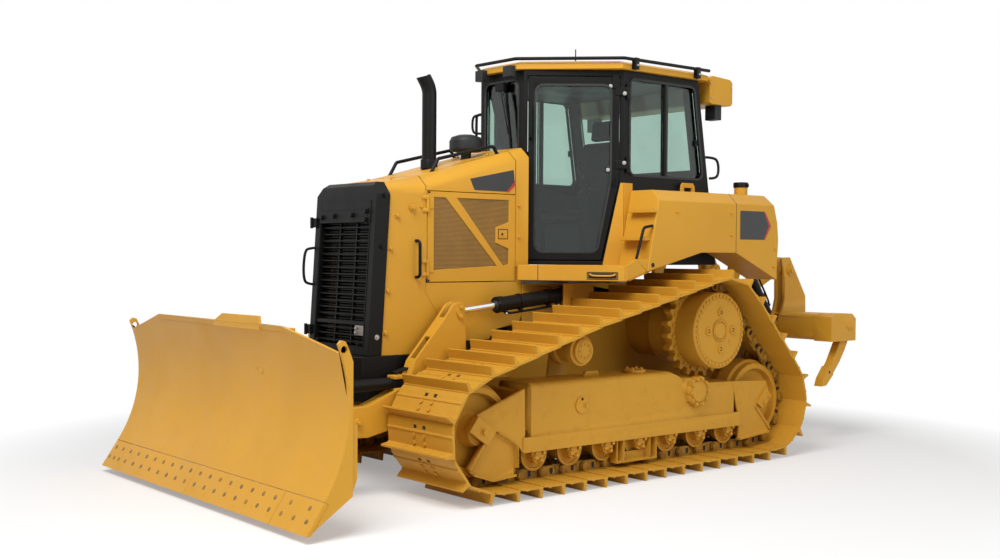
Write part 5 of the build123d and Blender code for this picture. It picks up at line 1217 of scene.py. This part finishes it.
class DOZER_OT_guard(bpy.types.Operator):
    """Fits the radiator guard's handle, hinge brackets, latch, slats and bolts"""

    bl_idname = "dozer.guard"
    bl_label = "Radiator guard"

    def execute(self, context):
        bm = bmesh.new()
        # the strip above the bars with its bolts, and the lip over it
        guard_bar(bm, 0.328, 0.044, 0.012, 1.888, -0.006, 0.003)
        guard_bar(bm, 0.317, 0.030, 0.010, 1.963, -0.008, 0.001)
        above = ((-0.288, 1.886), (-0.129, 1.894), (0.109, 1.897), (0.280, 1.862), (0.282, 1.920))
        guard_heads(bm, 0.028, above, 0.0055)
        low, high = 0.985, 1.995
        window = [on_guard(y, z) for y, z in ((-GUARD_WINDOW_HALF, low), (GUARD_WINDOW_HALF, low),
                                              (GUARD_WINDOW_HALF, high), (-GUARD_WINDOW_HALF, high))]
        outline_strips(bm, window, 0.008, 0.003, GUARD_OUT)
        # the far-side handle and the hinge brackets of the swing-out bars
        grip = ((-0.384, 1.668, -0.01), (-0.400, 1.664, 0.030), (-0.404, 1.650, 0.068),
                (-0.404, 1.520, 0.075), (-0.404, 1.425, 0.060), (-0.400, 1.405, 0.030),
                (-0.384, 1.400, -0.01))
        add(bm, tube([on_guard(*place) for place in grip], 0.010))
        for z in (1.850, 1.075):
            low, high = on_guard(-0.420, z - 0.034, -0.012), on_guard(-0.352, z + 0.034, 0.022)
            add(bm, block((high.x - 0.036, low.y, low.z), high, 0.004))
            add(bm, drum(0.012, 0.080, 16, 0.002), Matrix.Translation(on_guard(-0.408, z - 0.040, 0.020)))
        guard_side_heads(bm, 0.022, ((1.741, 1.677), (1.719, 2.030)))
        # the bar over the lower opening, and the fine slats behind the bars
        guard_bar(bm, 0.317, 0.012, 0.016, 1.142, -0.022, 0.003)
        for k in range(SLAT_COUNT):
            guard_bar(bm, 0.3175, 0.0035, 0.016, SLAT_FIRST_Z + SLAT_STEP * k, -0.064)
        for y in (-0.272, 0.267):
            guard_heads(bm, 0.020, [(y, 1.000)], 0.0)
        piece("guard_fittings", bm, "chassis", ("black",))
        bright = bmesh.new()
        low, high = on_guard(0.208, 1.062, -0.020), on_guard(0.312, 1.130, -0.002)
        add(bright, block(low, (max(low.x, high.x) + 0.004, high.y, high.z), 0.003))
        guard_heads(bright, 0.022, [(0.238, 1.112), (0.238, 1.082)], 0.004, washer=False)
        guard_side_heads(bright, 0.020, [(1.779, 1.054)])
        piece("guard_latch", bright, "chassis", ("steel",))
        return {"FINISHED"}


# ---- cab --------------------------------------------------------------------------------------
# outlines of the openings, (along, height) on the door, (x, z) at the side and (y, z) at the front
DOOR_OPENING = ((0.088, 1.650), (0.566, 1.650), (0.668, 2.205), (0.668, 2.930), (0.088, 2.930))
SIDE_WINDOW = ((-1.155, 2.245), (-0.300, 2.245), (-0.300, 2.985), (-1.040, 2.985))
FRONT_WINDOW = ((-0.202, 1.960), (0.202, 1.960), (0.202, 2.975), (-0.202, 2.975))
DOOR_CORNER, SIDE_CORNER, FRONT_CORNER = 0.060, 0.055, 0.060
# y of the side walls' outer face and x of the front wall's
SIDE_WALL, FRONT_WALL = 0.762, 0.345
# (height, out) down the door's handle bar and down its lock's pull
DOOR_BAR = ((2.752, 0.004), (2.748, 0.040), (2.720, 0.046), (2.545, 0.046), (2.520, 0.040), (2.515, 0.004))
DOOR_PULL = ((2.240, 0.005), (2.238, 0.026), (2.190, 0.030), (2.160, 0.020))
# (along, height, out) of the bolts at the upper corner, the lock and the two hinges
DOOR_BOLTS = ((0.662, 2.921, 0.006), (0.646, 2.281, 0.013), (0.770, 2.865, 0.0145), (0.770, 2.335, 0.0145))


class DOZER_OT_cab(bpy.types.Operator):
    """Fits the cab's window seals, door handles and locks, wiper and levers"""

    bl_idname = "dozer.cab"
    bl_label = "Cab"

    def execute(self, context):
        # pressed round corners of the fixed windows, and their rubber seals
        bm = bmesh.new()
        rounded_corners(bm, SIDE_WINDOW, SIDE_CORNER, 0.046, side_on((0, SIDE_WALL - 0.047, 0)))
        both_sides(bm)
        rounded_corners(bm, FRONT_WINDOW, FRONT_CORNER, 0.044, front_on((FRONT_WALL - 0.045, 0, 0)))
        piece("window_corners", bm, "chassis", ("black",))
        seal = bmesh.new()
        side_edge = [(x, SIDE_WALL, z) for x, z in rounded(SIDE_WINDOW, SIDE_CORNER)]
        outline_strips(seal, side_edge, 0.018, 0.005, OUT)
        strip(seal, (-0.715, SIDE_WALL, 2.245), (-0.715, SIDE_WALL, 2.985), 0.016, 0.004, OUT)
        both_sides(seal)
        front_edge = [(FRONT_WALL, y, z) for y, z in rounded(FRONT_WINDOW, FRONT_CORNER)]
        outline_strips(seal, front_edge, 0.018, 0.005, AHEAD)
        piece("window_seals", seal, "chassis", ("rubber",))
        for side, name in SIDES:
            self.door(side, name)
        self.outside()
        self.inside()
        return {"FINISHED"}

    def door(self, side, name):
        """The pressed corners, seal, handle, lock and bolts of one cab door."""
        body = "cab_door_" + name
        bm = bmesh.new()
        rounded_corners(bm, DOOR_OPENING, DOOR_CORNER, 0.048, door_turn(-0.043))
        edge = [on_door(along, z, 0.006) for along, z in rounded(DOOR_OPENING, DOOR_CORNER)]
        outline_strips(bm, edge, 0.016, 0.004, DOOR_OUT, ACCENT)
        add(bm, tube([on_door(0.052, z, out) for z, out in DOOR_BAR], 0.011))
        add(bm, tube([on_door(0.688, z, out) for z, out in DOOR_PULL], 0.010))
        add(bm, drum(0.020, 0.008, 20, 0.002), facing(DOOR_OUT, on_door(0.646, 2.281, 0.005)))
        add(bm, block((-0.024, -0.05, 0), (0.024, 0.05, 0.012), 0.003),
            door_turn(0.005) @ Matrix.Translation((0.700, 2.955, 0)))
        piece("cab_door_trim_" + name, on_side(bm, side), body, ("black", "rubber"))
        bright = bmesh.new()
        heads(bright, 0.016, [facing(DOOR_OUT, on_door(*place)) for place in DOOR_BOLTS])
        piece("cab_door_bolts_" + name, on_side(bright, side), body, ("steel",))

    def outside(self):
        """The wiper, the rear grab handles and the front one."""
        bm = bmesh.new()
        add(bm, block((FRONT_WALL, -0.040, 2.900), (FRONT_WALL + 0.040, 0.060, 2.965), 0.006))
        add(bm, tube([(0.376, 0.010, 2.935), (0.384, 0.060, 2.800), (0.372, 0.110, 2.560)], 0.006))
        add(bm, tube([(0.376, 0.035, 2.935), (0.384, 0.088, 2.800), (0.372, 0.130, 2.560)], 0.005))
        strip(bm, (0.354, 0.075, 2.880), (0.354, 0.165, 2.240), 0.014, 0.018, AHEAD)
        rear = ((-1.200, 0.755, 2.432), (-1.285, 0.775, 2.432), (-1.325, 0.780, 2.395),
                (-1.330, 0.780, 2.300), (-1.295, 0.775, 2.262), (-1.245, 0.755, 2.262))
        for side in (-1, 1):
            add(bm, tube([(x, side * y, z) for x, y, z in rear], 0.011))
        front = [(0.325, -0.275, 2.744), (0.350, -0.330, 2.744), (0.352, -0.362, 2.715),
                 (0.352, -0.362, 2.625), (0.350, -0.330, 2.595), (0.325, -0.275, 2.595)]
        add(bm, tube(front, 0.010))
        # latch of the sliding side pane, and the lamp brackets under the rear box
        both = bmesh.new()
        add(both, block((-1.092, 0.738, 2.512), (-1.066, 0.758, 2.566), 0.004))
        add(both, block((-1.362, 0.686, 2.835), (-1.338, 0.714, 2.868), 0.003))
        both_sides(both)
        add(bm, both)
        piece("cab_handles", bm, "chassis", ("black",))

    def inside(self):
        """The levers and the display in front of the seat."""
        bm = bmesh.new()
        knob = ((0.0, 0.0), (0.020, 0.006), (0.027, 0.040), (0.024, 0.085), (0.012, 0.104), (0.0, 0.108))
        boot = ((0.048, 0.0), (0.040, 0.012), (0.042, 0.022), (0.030, 0.034), (0.031, 0.044), (0.014, 0.062),
                (0.0, 0.062))
        for side in (-1, 1):
            foot, top = side * 0.330, side * 0.326
            add(bm, tube([(-0.262, foot, 2.150), (-0.240, foot, 2.215), (-0.215, top, 2.270)], 0.011))
            add(bm, turned(knob, 20), facing((0.35, 0, 1), (-0.215, top, 2.262)))
            add(bm, turned(boot, 20), Matrix.Translation((-0.262, foot, 2.135)))
        add(bm, block((0.130, -0.110, 2.300), (0.160, 0.110, 2.440), 0.010, 3))
        add(bm, tube([(0.190, 0.0, 2.240), (0.170, 0.0, 2.290), (0.150, 0.0, 2.340)], 0.014))
        piece("cab_levers", bm, "chassis", ("plastic",))


# ---- roof, tanks and platform -----------------------------------------------------------------
# y of the tank's side, its top, and the chamfer between them
TANK_SIDE, TANK_TOP, TANK_CHAMFER = 1.080, 2.125, 0.082
# x and z of the bolts, and (x, z) outlines of the badge and its stripe
TANK_BOLTS = ((-0.492, 1.964), (-1.130, 1.969), (-1.133, 1.797), (-1.690, 1.690), (-1.672, 1.545))
TANK_BADGE = ((-1.245, 1.990), (-1.560, 1.990), (-1.640, 1.875), (-1.560, 1.760), (-1.245, 1.760))
TANK_BADGE_STRIPE = ((-1.545, 1.986), (-1.558, 1.986), (-1.636, 1.875), (-1.558, 1.764), (-1.545, 1.764),
                     (-1.610, 1.875))
TANK_JOINT_X, TANK_LOW, TANK_INNER_SIDE = -1.196, 1.652, 0.770
# front edge, top and outer end of the two steps, and the row of studs on each
STEPS = ((-0.215, 1.975, 1.078), (-0.130, 1.765, 1.050))
STUD_COUNT, STUD_STEP = 9, 0.024
# y of the roof's clamps and of the rear box's side, and x and z of their bolts
ROOF_FACE, ROOF_BOLTS = 0.8375, ((-0.300, 3.080), (-1.010, 3.080))
REAR_BOX_FACE, REAR_BOX_BOLTS = 0.780, ((-1.222, 3.035), (-1.228, 2.920), (-1.478, 3.022))
# the two ends of the left platform's slanted front
PLATFORM_START, PLATFORM_END = Vector((0.522, 0.415, 0)), Vector((0.060, 1.070, 0))
# (along, height, out) of the platform's grip
PLATFORM_GRIP = ((0.545, 1.488, 0.001), (0.548, 1.476, 0.012), (0.640, 1.474, 0.014), (0.729, 1.476, 0.012),
                 (0.732, 1.488, 0.001))


class DOZER_OT_bodywork(bpy.types.Operator):
    """Fits the tanks' bolts, badges and caps, the platform's grip, the roof's bolts and the lamp lenses"""

    bl_idname = "dozer.bodywork"
    bl_label = "Bodywork"

    def execute(self, context):
        bm = bmesh.new()
        heads(bm, 0.018, [on_left(x, z, TANK_SIDE) for x, z in TANK_BOLTS])
        add(bm, drum(0.017, 0.004, 16), on_left(-0.231, 1.556, TANK_SIDE - 0.001), ACCENT)
        # joint between the two tank panels
        x, shoulder, shelf = TANK_JOINT_X, TANK_TOP - TANK_CHAMFER, TANK_SIDE - TANK_CHAMFER
        joint_line(bm, (x, TANK_SIDE, TANK_LOW), (x, TANK_SIDE, shoulder), OUT)
        joint_line(bm, (x, TANK_SIDE, shoulder), (x, shelf, TANK_TOP), (0, 1, 1))
        joint_line(bm, (x, shelf, TANK_TOP), (x, TANK_INNER_SIDE, TANK_TOP), UP)
        # lifting loop on the inner edge of the tank
        low = TANK_TOP - 0.001
        outer = [(-0.845, low), (-0.850, 2.185), (-0.868, 2.208), (-0.992, 2.208), (-1.010, 2.185),
                 (-1.015, low), (-0.975, low), (-0.975, 2.170), (-0.885, 2.170), (-0.885, low)]
        add(bm, prism(outer, 0.014, 0.002, 1), side_on((0, 0.790, 0)))
        # tread plates of the steps, each with its row of studs
        for front, z, end in STEPS:
            add(bm, block((-0.345, end - 0.244, z - SUNK), (front - 0.012, end - 0.012, z + 0.0035), 0.001))
            for k in range(STUD_COUNT):
                stud = (front - 0.030, end - 0.220 + k * STUD_STEP, z + 0.003)
                add(bm, drum(0.006, 0.004, 8), Matrix.Translation(stud))
        both_sides(bm)
        piece("tank_fittings", bm, "chassis", ("yellow", "dark"))
        badges("tank_badges", TANK_BADGE, TANK_BADGE_STRIPE, TANK_SIDE)
        necks, caps = bmesh.new(), bmesh.new()
        cap = ((0.0, 0.064), (0.060, 0.064), (0.062, 0.067), (0.062, 0.098), (0.057, 0.106), (0.0, 0.110))
        for side in (-1, 1):
            place = Matrix.Translation((-1.470, side * 0.900, TANK_TOP))
            add(necks, drum(0.055, 0.066, 36, 0.003), place)
            add(caps, turned(cap, 40), place)
            add(caps, block((-0.010, 0.055, 0.068), (0.010, 0.078, 0.092), 0.003), place)
        piece("filler_necks", necks, "chassis", ("yellow",))
        piece("filler_caps", caps, "chassis", ("black",), replaces=("tank_caps",))
        self.platform()
        self.roof()
        return {"FINISHED"}

    def platform(self):
        """The grip, its pocket and the joint line on the platform's slanted front."""
        run = (PLATFORM_END - PLATFORM_START).normalized()
        away = Vector((run.y, -run.x, 0))

        def on_front(along, height, out=0.0):
            """A place on the slanted front: along it, up, and outwards."""
            return PLATFORM_START + run * along + Vector((0, 0, height)) + away * out

        bm = bmesh.new()
        pocket = ((0.525, 1.500), (0.752, 1.500), (0.752, 1.449), (0.525, 1.449))
        outline_strips(bm, [on_front(*place) for place in pocket], 0.006, 0.0012, away, ACCENT)
        # the pocket's inside is a flat dark band behind the grip: painted shade of the recess
        strip(bm, on_front(0.532, 1.475), on_front(0.745, 1.475), 0.040, JOINT_RISE, away, ACCENT)
        add(bm, tube([on_front(*place) for place in PLATFORM_GRIP], 0.007))
        joint_line(bm, on_front(0.150, 1.438), on_front(0.150, 1.551), away)
        both_sides(bm)
        piece("platform_fittings", bm, "chassis", ("yellow", "dark"))

    def roof(self):
        """Bolts on the roof's clamps and on the rear box, and the lenses of the rear lamps."""
        bm = bmesh.new()
        heads(bm, 0.016, [on_left(x, z, ROOF_FACE) for x, z in ROOF_BOLTS], washer=False)
        heads(bm, 0.014, [on_left(x, z, REAR_BOX_FACE) for x, z in REAR_BOX_BOLTS], washer=False)
        both_sides(bm)
        piece("roof_bolts", bm, "chassis", ("steel",))
        lens = bmesh.new()
        for y in (-0.700, 0.700):
            add(lens, block((-1.3935, y - 0.045, 2.758), (-1.3895, y + 0.045, 2.838), 0.002))
        piece("lamp_lenses", lens, "chassis", ("lens",))


# ---- blade, push frame, cylinders and ripper --------------------------------------------------
# the cutting edge's upper line, the ways down its face and out of it, its thickness and its rows of bolts
EDGE_HEEL = Vector((2.850, 0, 0.226))
EDGE_DOWN, EDGE_FRONT = Vector((0.561, 0, -0.828)), Vector((0.828, 0, 0.561))
EDGE_THICK, EDGE_UPPER_ROW, EDGE_LOWER_ROW = 0.030, 0.055, 0.135
# start and end across the blade, bolts in the upper and the lower row
EDGE_LENGTHS = ((-1.460, -1.215, 2, 3), (-1.212, -0.097, 8, 8), (-0.094, 1.030, 8, 8), (1.033, 1.460, 2, 3))
LIFT_BASE, TOWER_PIN = Vector((0.105, 0.503, 1.330)), Vector((1.185, 0.503, 1.222))
RIPPER_BASE, RIPPER_EYE = Vector((-1.990, 0.520, 1.590)), Vector((-2.390, 0.520, 1.020))
# name, base, eye, barrel's radius, its bands, the way out to its line, the line's ports, gland, rod's radius
CYLINDERS = (
    ("lift", LIFT_BASE, TOWER_PIN, 0.054, (0.200, 0.480), (0, 0.35, -1), (0.120, 0.640), 0.712, 0.025),
    ("ripper", RIPPER_BASE, RIPPER_EYE, 0.042, (0.160, 0.400), (-1, 0.3, 0.4), (0.080, 0.520), 0.580, 0.022),
)
# x and z of the push frame's tower pins, trunnions and arm ends, and y of the faces they stand on
TOWER, TRUNNION, ARM_END = (1.185, 1.222), (0.755, 0.640), (2.040, 0.507)
TOWER_FACE, TRUNNION_FACE, ARM_END_FACE, TRUNNION_CAP = 0.5575, 0.5555, 0.5595, 0.012
# x, z and radius of the ripper's pins on its towers, and y of the face they stand on
RIPPER_PINS, RIPPER_PIN_FACE = ((-2.665, 1.500, 0.040), (-2.635, 0.985, 0.048)), 0.5045
SHANK_PLACES, POINT_THICK = (-0.960, 0.0, 0.960), 0.085
POINT_OUTLINE = ((-2.592, 0.662), (-2.505, 0.560), (-2.4765, 0.4905), (-2.545, 0.496), (-2.650, 0.590))


def cylinder_lines(base, along, out, radius, bands, ports):
    """The two bands round a barrel and the steel line between its ports, on the side that out names."""
    def on_barrel(down, height):
        """A place so far down the barrel and so high over its skin."""
        return base + along * down + out * (radius + height)

    bm = bmesh.new()
    for down in bands:
        add(bm, ring(radius - 0.001, radius + 0.005, 0.026, 36), facing(along, base + along * down))
        strip(bm, on_barrel(down, 0), on_barrel(down + 0.026, 0), 0.030, 0.024, out)
    first, last = ports
    line = ((first, -0.006), (first + 0.010, 0.018), (first + 0.060, 0.024), (last - 0.060, 0.024),
            (last - 0.010, 0.018), (last, -0.006))
    add(bm, tube([on_barrel(*place) for place in line], 0.009))
    for down in ports:
        add(bm, drum(0.017, 0.020, 16, 0.003), facing(out, on_barrel(down, -0.004)))
        add(bm, drum(0.012, 0.012, 6), facing(out, on_barrel(down, 0.014)), ACCENT)
    return bm


class DOZER_OT_attachments(bpy.types.Operator):
    """Fits the cutting edge's bolts, the pins, steel lines and bands, and the ripper's points"""

    bl_idname = "dozer.attachments"
    bl_label = "Attachments"

    def execute(self, context):
        self.edge_bolts()
        self.push_frame()
        self.cylinders()
        self.ripper()
        return {"FINISHED"}

    def edge_bolts(self):
        """Flush plow bolts on the face of the cutting edge and their nuts behind."""
        fronts, backs = [], []
        for start, end, upper, lower in EDGE_LENGTHS:
            for down, count in ((EDGE_UPPER_ROW, upper), (EDGE_LOWER_ROW, lower)):
                for k in range(count):
                    y = start + (end - start) * (k + 0.5) / count
                    place = EDGE_HEEL + EDGE_DOWN * down + Vector((0, y, 0))
                    fronts.append(facing(EDGE_FRONT, place))
                    backs.append(facing(-EDGE_FRONT, place - EDGE_FRONT * EDGE_THICK))
        bm = bmesh.new()
        head = turned([(0.0, 0.003), (0.010, 0.003), (0.015, 0.0015), (0.017, -0.001), (0.0, -0.001)], 18)
        stamp(bm, head, fronts)
        heads(bm, 0.028, backs)
        piece("edge_bolts", bm, "blade", ("worn_bolts",))

    def push_frame(self):
        """The pin retainers on the towers, the caps of the trunnions and arm ends, and the steel lines."""
        bm = bmesh.new()
        add(bm, drum(0.036, 0.010, 28, 0.002), on_left(*TOWER, TOWER_FACE))
        for z in (1.252, 1.188):
            heads(bm, 0.022, [on_left(TOWER[0], z, TOWER_FACE + 0.0085)])
        add(bm, drum(0.050, TRUNNION_CAP, 32, 0.003), on_left(*TRUNNION, TRUNNION_FACE))
        on_cap = (TRUNNION[0], TRUNNION_FACE + TRUNNION_CAP, TRUNNION[1])
        heads(bm, 0.022, circle_places(on_cap, OUT, 0.033, 4, 0.78))
        add(bm, drum(0.030, 0.012, 24, 0.003), on_left(*ARM_END, ARM_END_FACE))
        heads(bm, 0.026, [on_left(*ARM_END, ARM_END_FACE + 0.0115)])
        both_sides(bm)
        piece("push_frame_fittings", bm, "push_frame", ("yellow",))
        # steel lines to the angle cylinders, clipped to the arms
        lines = bmesh.new()
        for y in (0.470, 0.500):
            add(lines, tube([(1.300, y, 0.760), (1.400, y, 0.842), (1.560, y, 0.842), (1.640, y, 0.832),
                             (1.700, y, 0.812)], 0.010))
        both_sides(lines)
        piece("push_frame_lines", lines, "push_frame", ("black",))

    def cylinders(self):
        """Bands, ports, steel lines and wiper seals of the lift and ripper cylinders."""
        for name, base, eye, radius, bands, away, ports, gland, rod in CYLINDERS:
            along = (eye - base).normalized()
            out = (Vector(away) - along * Vector(away).dot(along)).normalized()
            seal_place = facing(along, base + along * (gland - 0.002))
            for side, hand in SIDES:
                body = name + "_barrel_" + hand
                bm = cylinder_lines(base, along, out, radius, bands, ports)
                piece(name + "_cylinder_lines_" + hand, on_side(bm, side), body, ("black", "steel"))
                seal = bmesh.new()
                add(seal, ring(rod + 0.0006, rod + 0.012, 0.008, 32), seal_place)
                piece(name + "_wiper_seal_" + hand, on_side(seal, side), body, ("rubber",))

    def ripper(self):
        """Pin heads and keepers of the ripper, and the fitted points of its shanks."""
        bm = bmesh.new()
        for x, z, radius in RIPPER_PINS:
            add(bm, drum(radius, 0.012, 28, 0.003), on_left(x, z, RIPPER_PIN_FACE))
            heads(bm, radius * 0.85, [on_left(x, z, RIPPER_PIN_FACE + 0.0115)])
        add(bm, block((-2.690, RIPPER_PIN_FACE, 1.440), (-2.660, RIPPER_PIN_FACE + 0.0095, 1.560), 0.003))
        add(bm, drum(0.034, 0.008, 28, 0.003), on_left(-2.808, 1.012, 1.0495))
        heads(bm, 0.036, [on_left(-2.808, 1.012, 1.052)], 0.006)
        both_sides(bm)
        piece("ripper_pins", bm, "ripper_beam", ("yellow",))
        points = bmesh.new()
        for y in SHANK_PLACES:
            add(points, prism(POINT_OUTLINE, POINT_THICK, 0.004), side_on((0, y - POINT_THICK / 2, 0)))
            for side in (-1, 1):
                pin = facing((0, side, 0), (-2.585, y + side * 0.042, 0.612))
                add(points, drum(0.010, 0.004, 12), pin, ACCENT)
        piece("ripper_points", points, "ripper_beam", ("yellow", "dark"))


# ---- seat -------------------------------------------------------------------------------------
def pad_shape(size, crown, pinch, channels):
    """A stuffed pad on Z = 0: crowned on top, pulled in between its corners, with sewn channels across X."""
    half_x, half_y, height = size[0] / 2, size[1] / 2, size[2]
    bm = bmesh.new()
    bmesh.ops.create_cube(bm, size=2.0)
    bmesh.ops.subdivide_edges(bm, edges=bm.edges[:], cuts=23, use_grid_fill=True)
    for vert in bm.verts:
        u, v, w = vert.co
        # round the box towards a stuffed form
        swell = max(abs(u), abs(v), abs(w)) / (abs(u) ** 7 + abs(v) ** 7 + abs(w) ** 7) ** (1 / 7)
        u, v, w = u * swell, v * swell, w * swell
        x = u * half_x * (1 - pinch * (1 - v * v) * abs(u))
        y = v * half_y * (1 - pinch * (1 - u * u) * abs(v))
        z = (w + 1) / 2 * height * (1 - crown)
        if w > 0:
            z += w * height * crown * (1 - u * u) * (1 - v * v)
            for line in channels:
                z -= w * 0.010 * max(0.0, 1 - abs(x - line) / 0.018) ** 2 * (1 - v ** 6)
        vert.co = (x, y, z)
    bmesh.ops.recalc_face_normals(bm, faces=bm.faces[:])
    return bm


def pad_piping(size, height):
    """The sewn cord round the edge of a pad."""
    x, y = size[0] / 2 - 0.010, size[1] / 2 - 0.010
    r = 0.045
    points = []
    for cx, cy, start in ((x - r, y - r, 0), (r - x, y - r, 1), (r - x, r - y, 2), (x - r, r - y, 3)):
        points += [(cx + r * cos((start + k / 4) * pi / 2), cy + r * sin((start + k / 4) * pi / 2), height)
                   for k in range(5)]
    return tube(points + points[:1], 0.004, smooth=False)


class DOZER_OT_seat(bpy.types.Operator):
    """Builds the padded seat: cushion, backrest and headrest, with their sewn edges"""

    bl_idname = "dozer.seat"
    bl_label = "Chair pads"

    def execute(self, context):
        # how far the backrest leans, from its foot to its head
        lean = Matrix.Rotation(radians(-8.5), 4, "Y")
        upright = lean @ Matrix.Rotation(radians(90), 4, "Y")
        cushion = ("seat_cushion_pad", (0.500, 0.480, 0.116), (-0.09, 0.09),
                   Matrix.Translation((-0.485, 0, 1.884)), ("seat_cushion",))
        back = ("seat_back_pad", (0.560, 0.460, 0.104), (-0.14, 0.02, 0.16),
                Matrix.Translation((-0.770, 0, 2.295)) @ upright, ("seat_back",))
        rest = ("headrest_pad", (0.170, 0.270, 0.072), (),
                Matrix.Translation((-0.808, 0, 2.664)) @ upright, ())
        for name, size, channels, place, replaced in (cushion, back, rest):
            bm = bmesh.new()
            add(bm, pad_shape(size, 0.22, 0.05, channels), place)
            pad = piece(name, bm, "chassis", ("cloth",), replaced, angle=80.0, weighted=False)
            cord = bmesh.new()
            add(cord, pad_piping(size, size[2] * 0.42), place)
            piece(name + "_piping", cord, "chassis", ("rubber",), weighted=False)
        return {"FINISHED"}


# ---- stage ------------------------------------------------------------------------------------
# the floor's colour, where its shadows fade out, and how much of it is its own light near the machine
FLOOR_COLOUR, FLOOR_REACH, OWN_LIGHT = (0.86, 0.86, 0.86), (2.9, 4.8), 0.30
FLOOR_RADIUS = 60.0


def stage_surface(name, colour, reach):
    """A pale floor that keeps shadows near the machine and turns to plain white further off."""
    material, tree, shader, place = blank_material(name, colour, 0.9)
    shader.inputs["Specular IOR Level"].default_value = 0.1
    light = tree.nodes.new("ShaderNodeEmission")
    light.inputs["Color"].default_value = (1, 1, 1, 1)
    length = tree.nodes.new("ShaderNodeVectorMath")
    length.operation = "LENGTH"
    tree.links.new(place, length.inputs[0])
    far = spread(tree, length.outputs["Value"], reach[0], reach[1])
    mix = tree.nodes.new("ShaderNodeMixShader")
    # near the machine the floor is partly its own light, so that it is white with a soft shadow on it
    share = maths(tree, "MAXIMUM", far, OWN_LIGHT)
    tree.links.new(maths(tree, "MULTIPLY", share, seen_directly(tree)), mix.inputs[0])
    tree.links.new(shader.outputs[0], mix.inputs[1])
    tree.links.new(light.outputs[0], mix.inputs[2])
    tree.links.new(mix.outputs[0], tree.nodes["Material Output"].inputs["Surface"])
    return material


def lamp(name, place, target, power, size):
    """A large soft area light."""
    data = bpy.data.lights.new(name, "AREA")
    data.energy = power
    data.shape = "RECTANGLE"
    data.size, data.size_y = size
    obj = bpy.data.objects.new(name, data)
    obj.location = place
    obj.rotation_euler = (Vector(target) - Vector(place)).to_track_quat("-Z", "Y").to_euler()
    bpy.context.scene.collection.objects.link(obj)


def set_world(strength):
    """Even white light, and a plain white background."""
    world = bpy.data.worlds.new("Studio")
    bpy.context.scene.world = world
    world.use_nodes = True
    tree = world.node_tree
    even = tree.nodes["Background"]
    even.inputs["Color"].default_value = (1, 1, 1, 1)
    even.inputs["Strength"].default_value = strength
    white = tree.nodes.new("ShaderNodeBackground")
    white.inputs["Color"].default_value = (1, 1, 1, 1)
    white.inputs["Strength"].default_value = 1.0
    mix = tree.nodes.new("ShaderNodeMixShader")
    tree.links.new(seen_directly(tree), mix.inputs[0])
    tree.links.new(even.outputs[0], mix.inputs[1])
    tree.links.new(white.outputs[0], mix.inputs[2])
    tree.links.new(mix.outputs[0], tree.nodes["World Output"].inputs["Surface"])


class DOZER_OT_stage(bpy.types.Operator):
    """Sets the floor, the lights and the camera"""

    bl_idname = "dozer.stage"
    bl_label = "Stage"

    def execute(self, context):
        sizes = context.scene.dozer_stage
        bm = bmesh.new()
        bmesh.ops.create_circle(bm, cap_ends=True, segments=64, radius=FLOOR_RADIUS)
        mesh = bpy.data.meshes.new("floor")
        bm.to_mesh(mesh)
        bm.free()
        mesh.materials.append(stage_surface("Floor", FLOOR_COLOUR, FLOOR_REACH))
        floor = bpy.data.objects.new("floor", mesh)
        context.scene.collection.objects.link(floor)
        set_world(sizes.sky)
        lamp("key", (5.5, 3.0, 8.0), (0.3, 0.0, 1.0), sizes.key, (5.0, 5.0))
        lamp("fill", (-1.0, 9.0, 5.0), (0.0, 0.0, 1.2), sizes.fill, (6.0, 4.0))
        camera = bpy.data.cameras.new("camera")
        camera.lens = sizes.lens
        camera.sensor_width = 36.0
        camera.sensor_fit = "HORIZONTAL"
        camera.clip_end = 200.0
        holder = bpy.data.objects.new("camera", camera)
        holder.matrix_world = (Matrix.Translation(sizes.camera_place)
                               @ Matrix.Rotation(sizes.heading, 4, "Z")
                               @ Matrix.Rotation(pi / 2 - sizes.pitch, 4, "X")
                               @ Matrix.Rotation(sizes.roll, 4, "Z"))
        context.scene.collection.objects.link(holder)
        context.scene.camera = holder
        context.scene.view_settings.view_transform = "Standard"
        return {"FINISHED"}


OPERATORS = (DOZER_OT_tracks, DOZER_OT_surfaces, DOZER_OT_running_gear, DOZER_OT_hood, DOZER_OT_guard,
             DOZER_OT_cab, DOZER_OT_bodywork, DOZER_OT_attachments, DOZER_OT_seat, DOZER_OT_stage)


class DOZER_PT_panel(bpy.types.Panel):
    """Lists the settings and the steps that build the machine"""

    bl_label = "Bulldozer"
    bl_idname = "DOZER_PT_panel"
    bl_space_type = "VIEW_3D"
    bl_region_type = "UI"
    bl_category = "Dozer"

    def draw(self, context):
        for group in (context.scene.dozer_paint, context.scene.dozer_track, context.scene.dozer_body,
                      context.scene.dozer_stage):
            box = self.layout.box()
            for name in group.bl_rna.properties.keys():
                if name not in ("rna_type", "name"):
                    box.prop(group, name)
        for operator in OPERATORS:
            self.layout.operator(operator.bl_idname)


SETTINGS = (("dozer_paint", PaintSettings), ("dozer_track", TrackSettings), ("dozer_body", BodySettings),
            ("dozer_stage", StageSettings))


def register():
    """Adds the settings, the steps and the panel."""
    for name, group in SETTINGS:
        bpy.utils.register_class(group)
        setattr(bpy.types.Scene, name, PointerProperty(type=group))
    for operator in OPERATORS:
        bpy.utils.register_class(operator)
    bpy.utils.register_class(DOZER_PT_panel)


def unregister():
    """Takes away the panel, the steps and the settings."""
    bpy.utils.unregister_class(DOZER_PT_panel)
    for operator in reversed(OPERATORS):
        bpy.utils.unregister_class(operator)
    for name, group in reversed(SETTINGS):
        delattr(bpy.types.Scene, name)
        bpy.utils.unregister_class(group)


def main():
    """Registers the add-on and builds every piece in order."""
    register()
    for operator in OPERATORS:
        getattr(bpy.ops.dozer, operator.bl_idname.split(".")[1])()


if __name__ == "__main__":
    main()
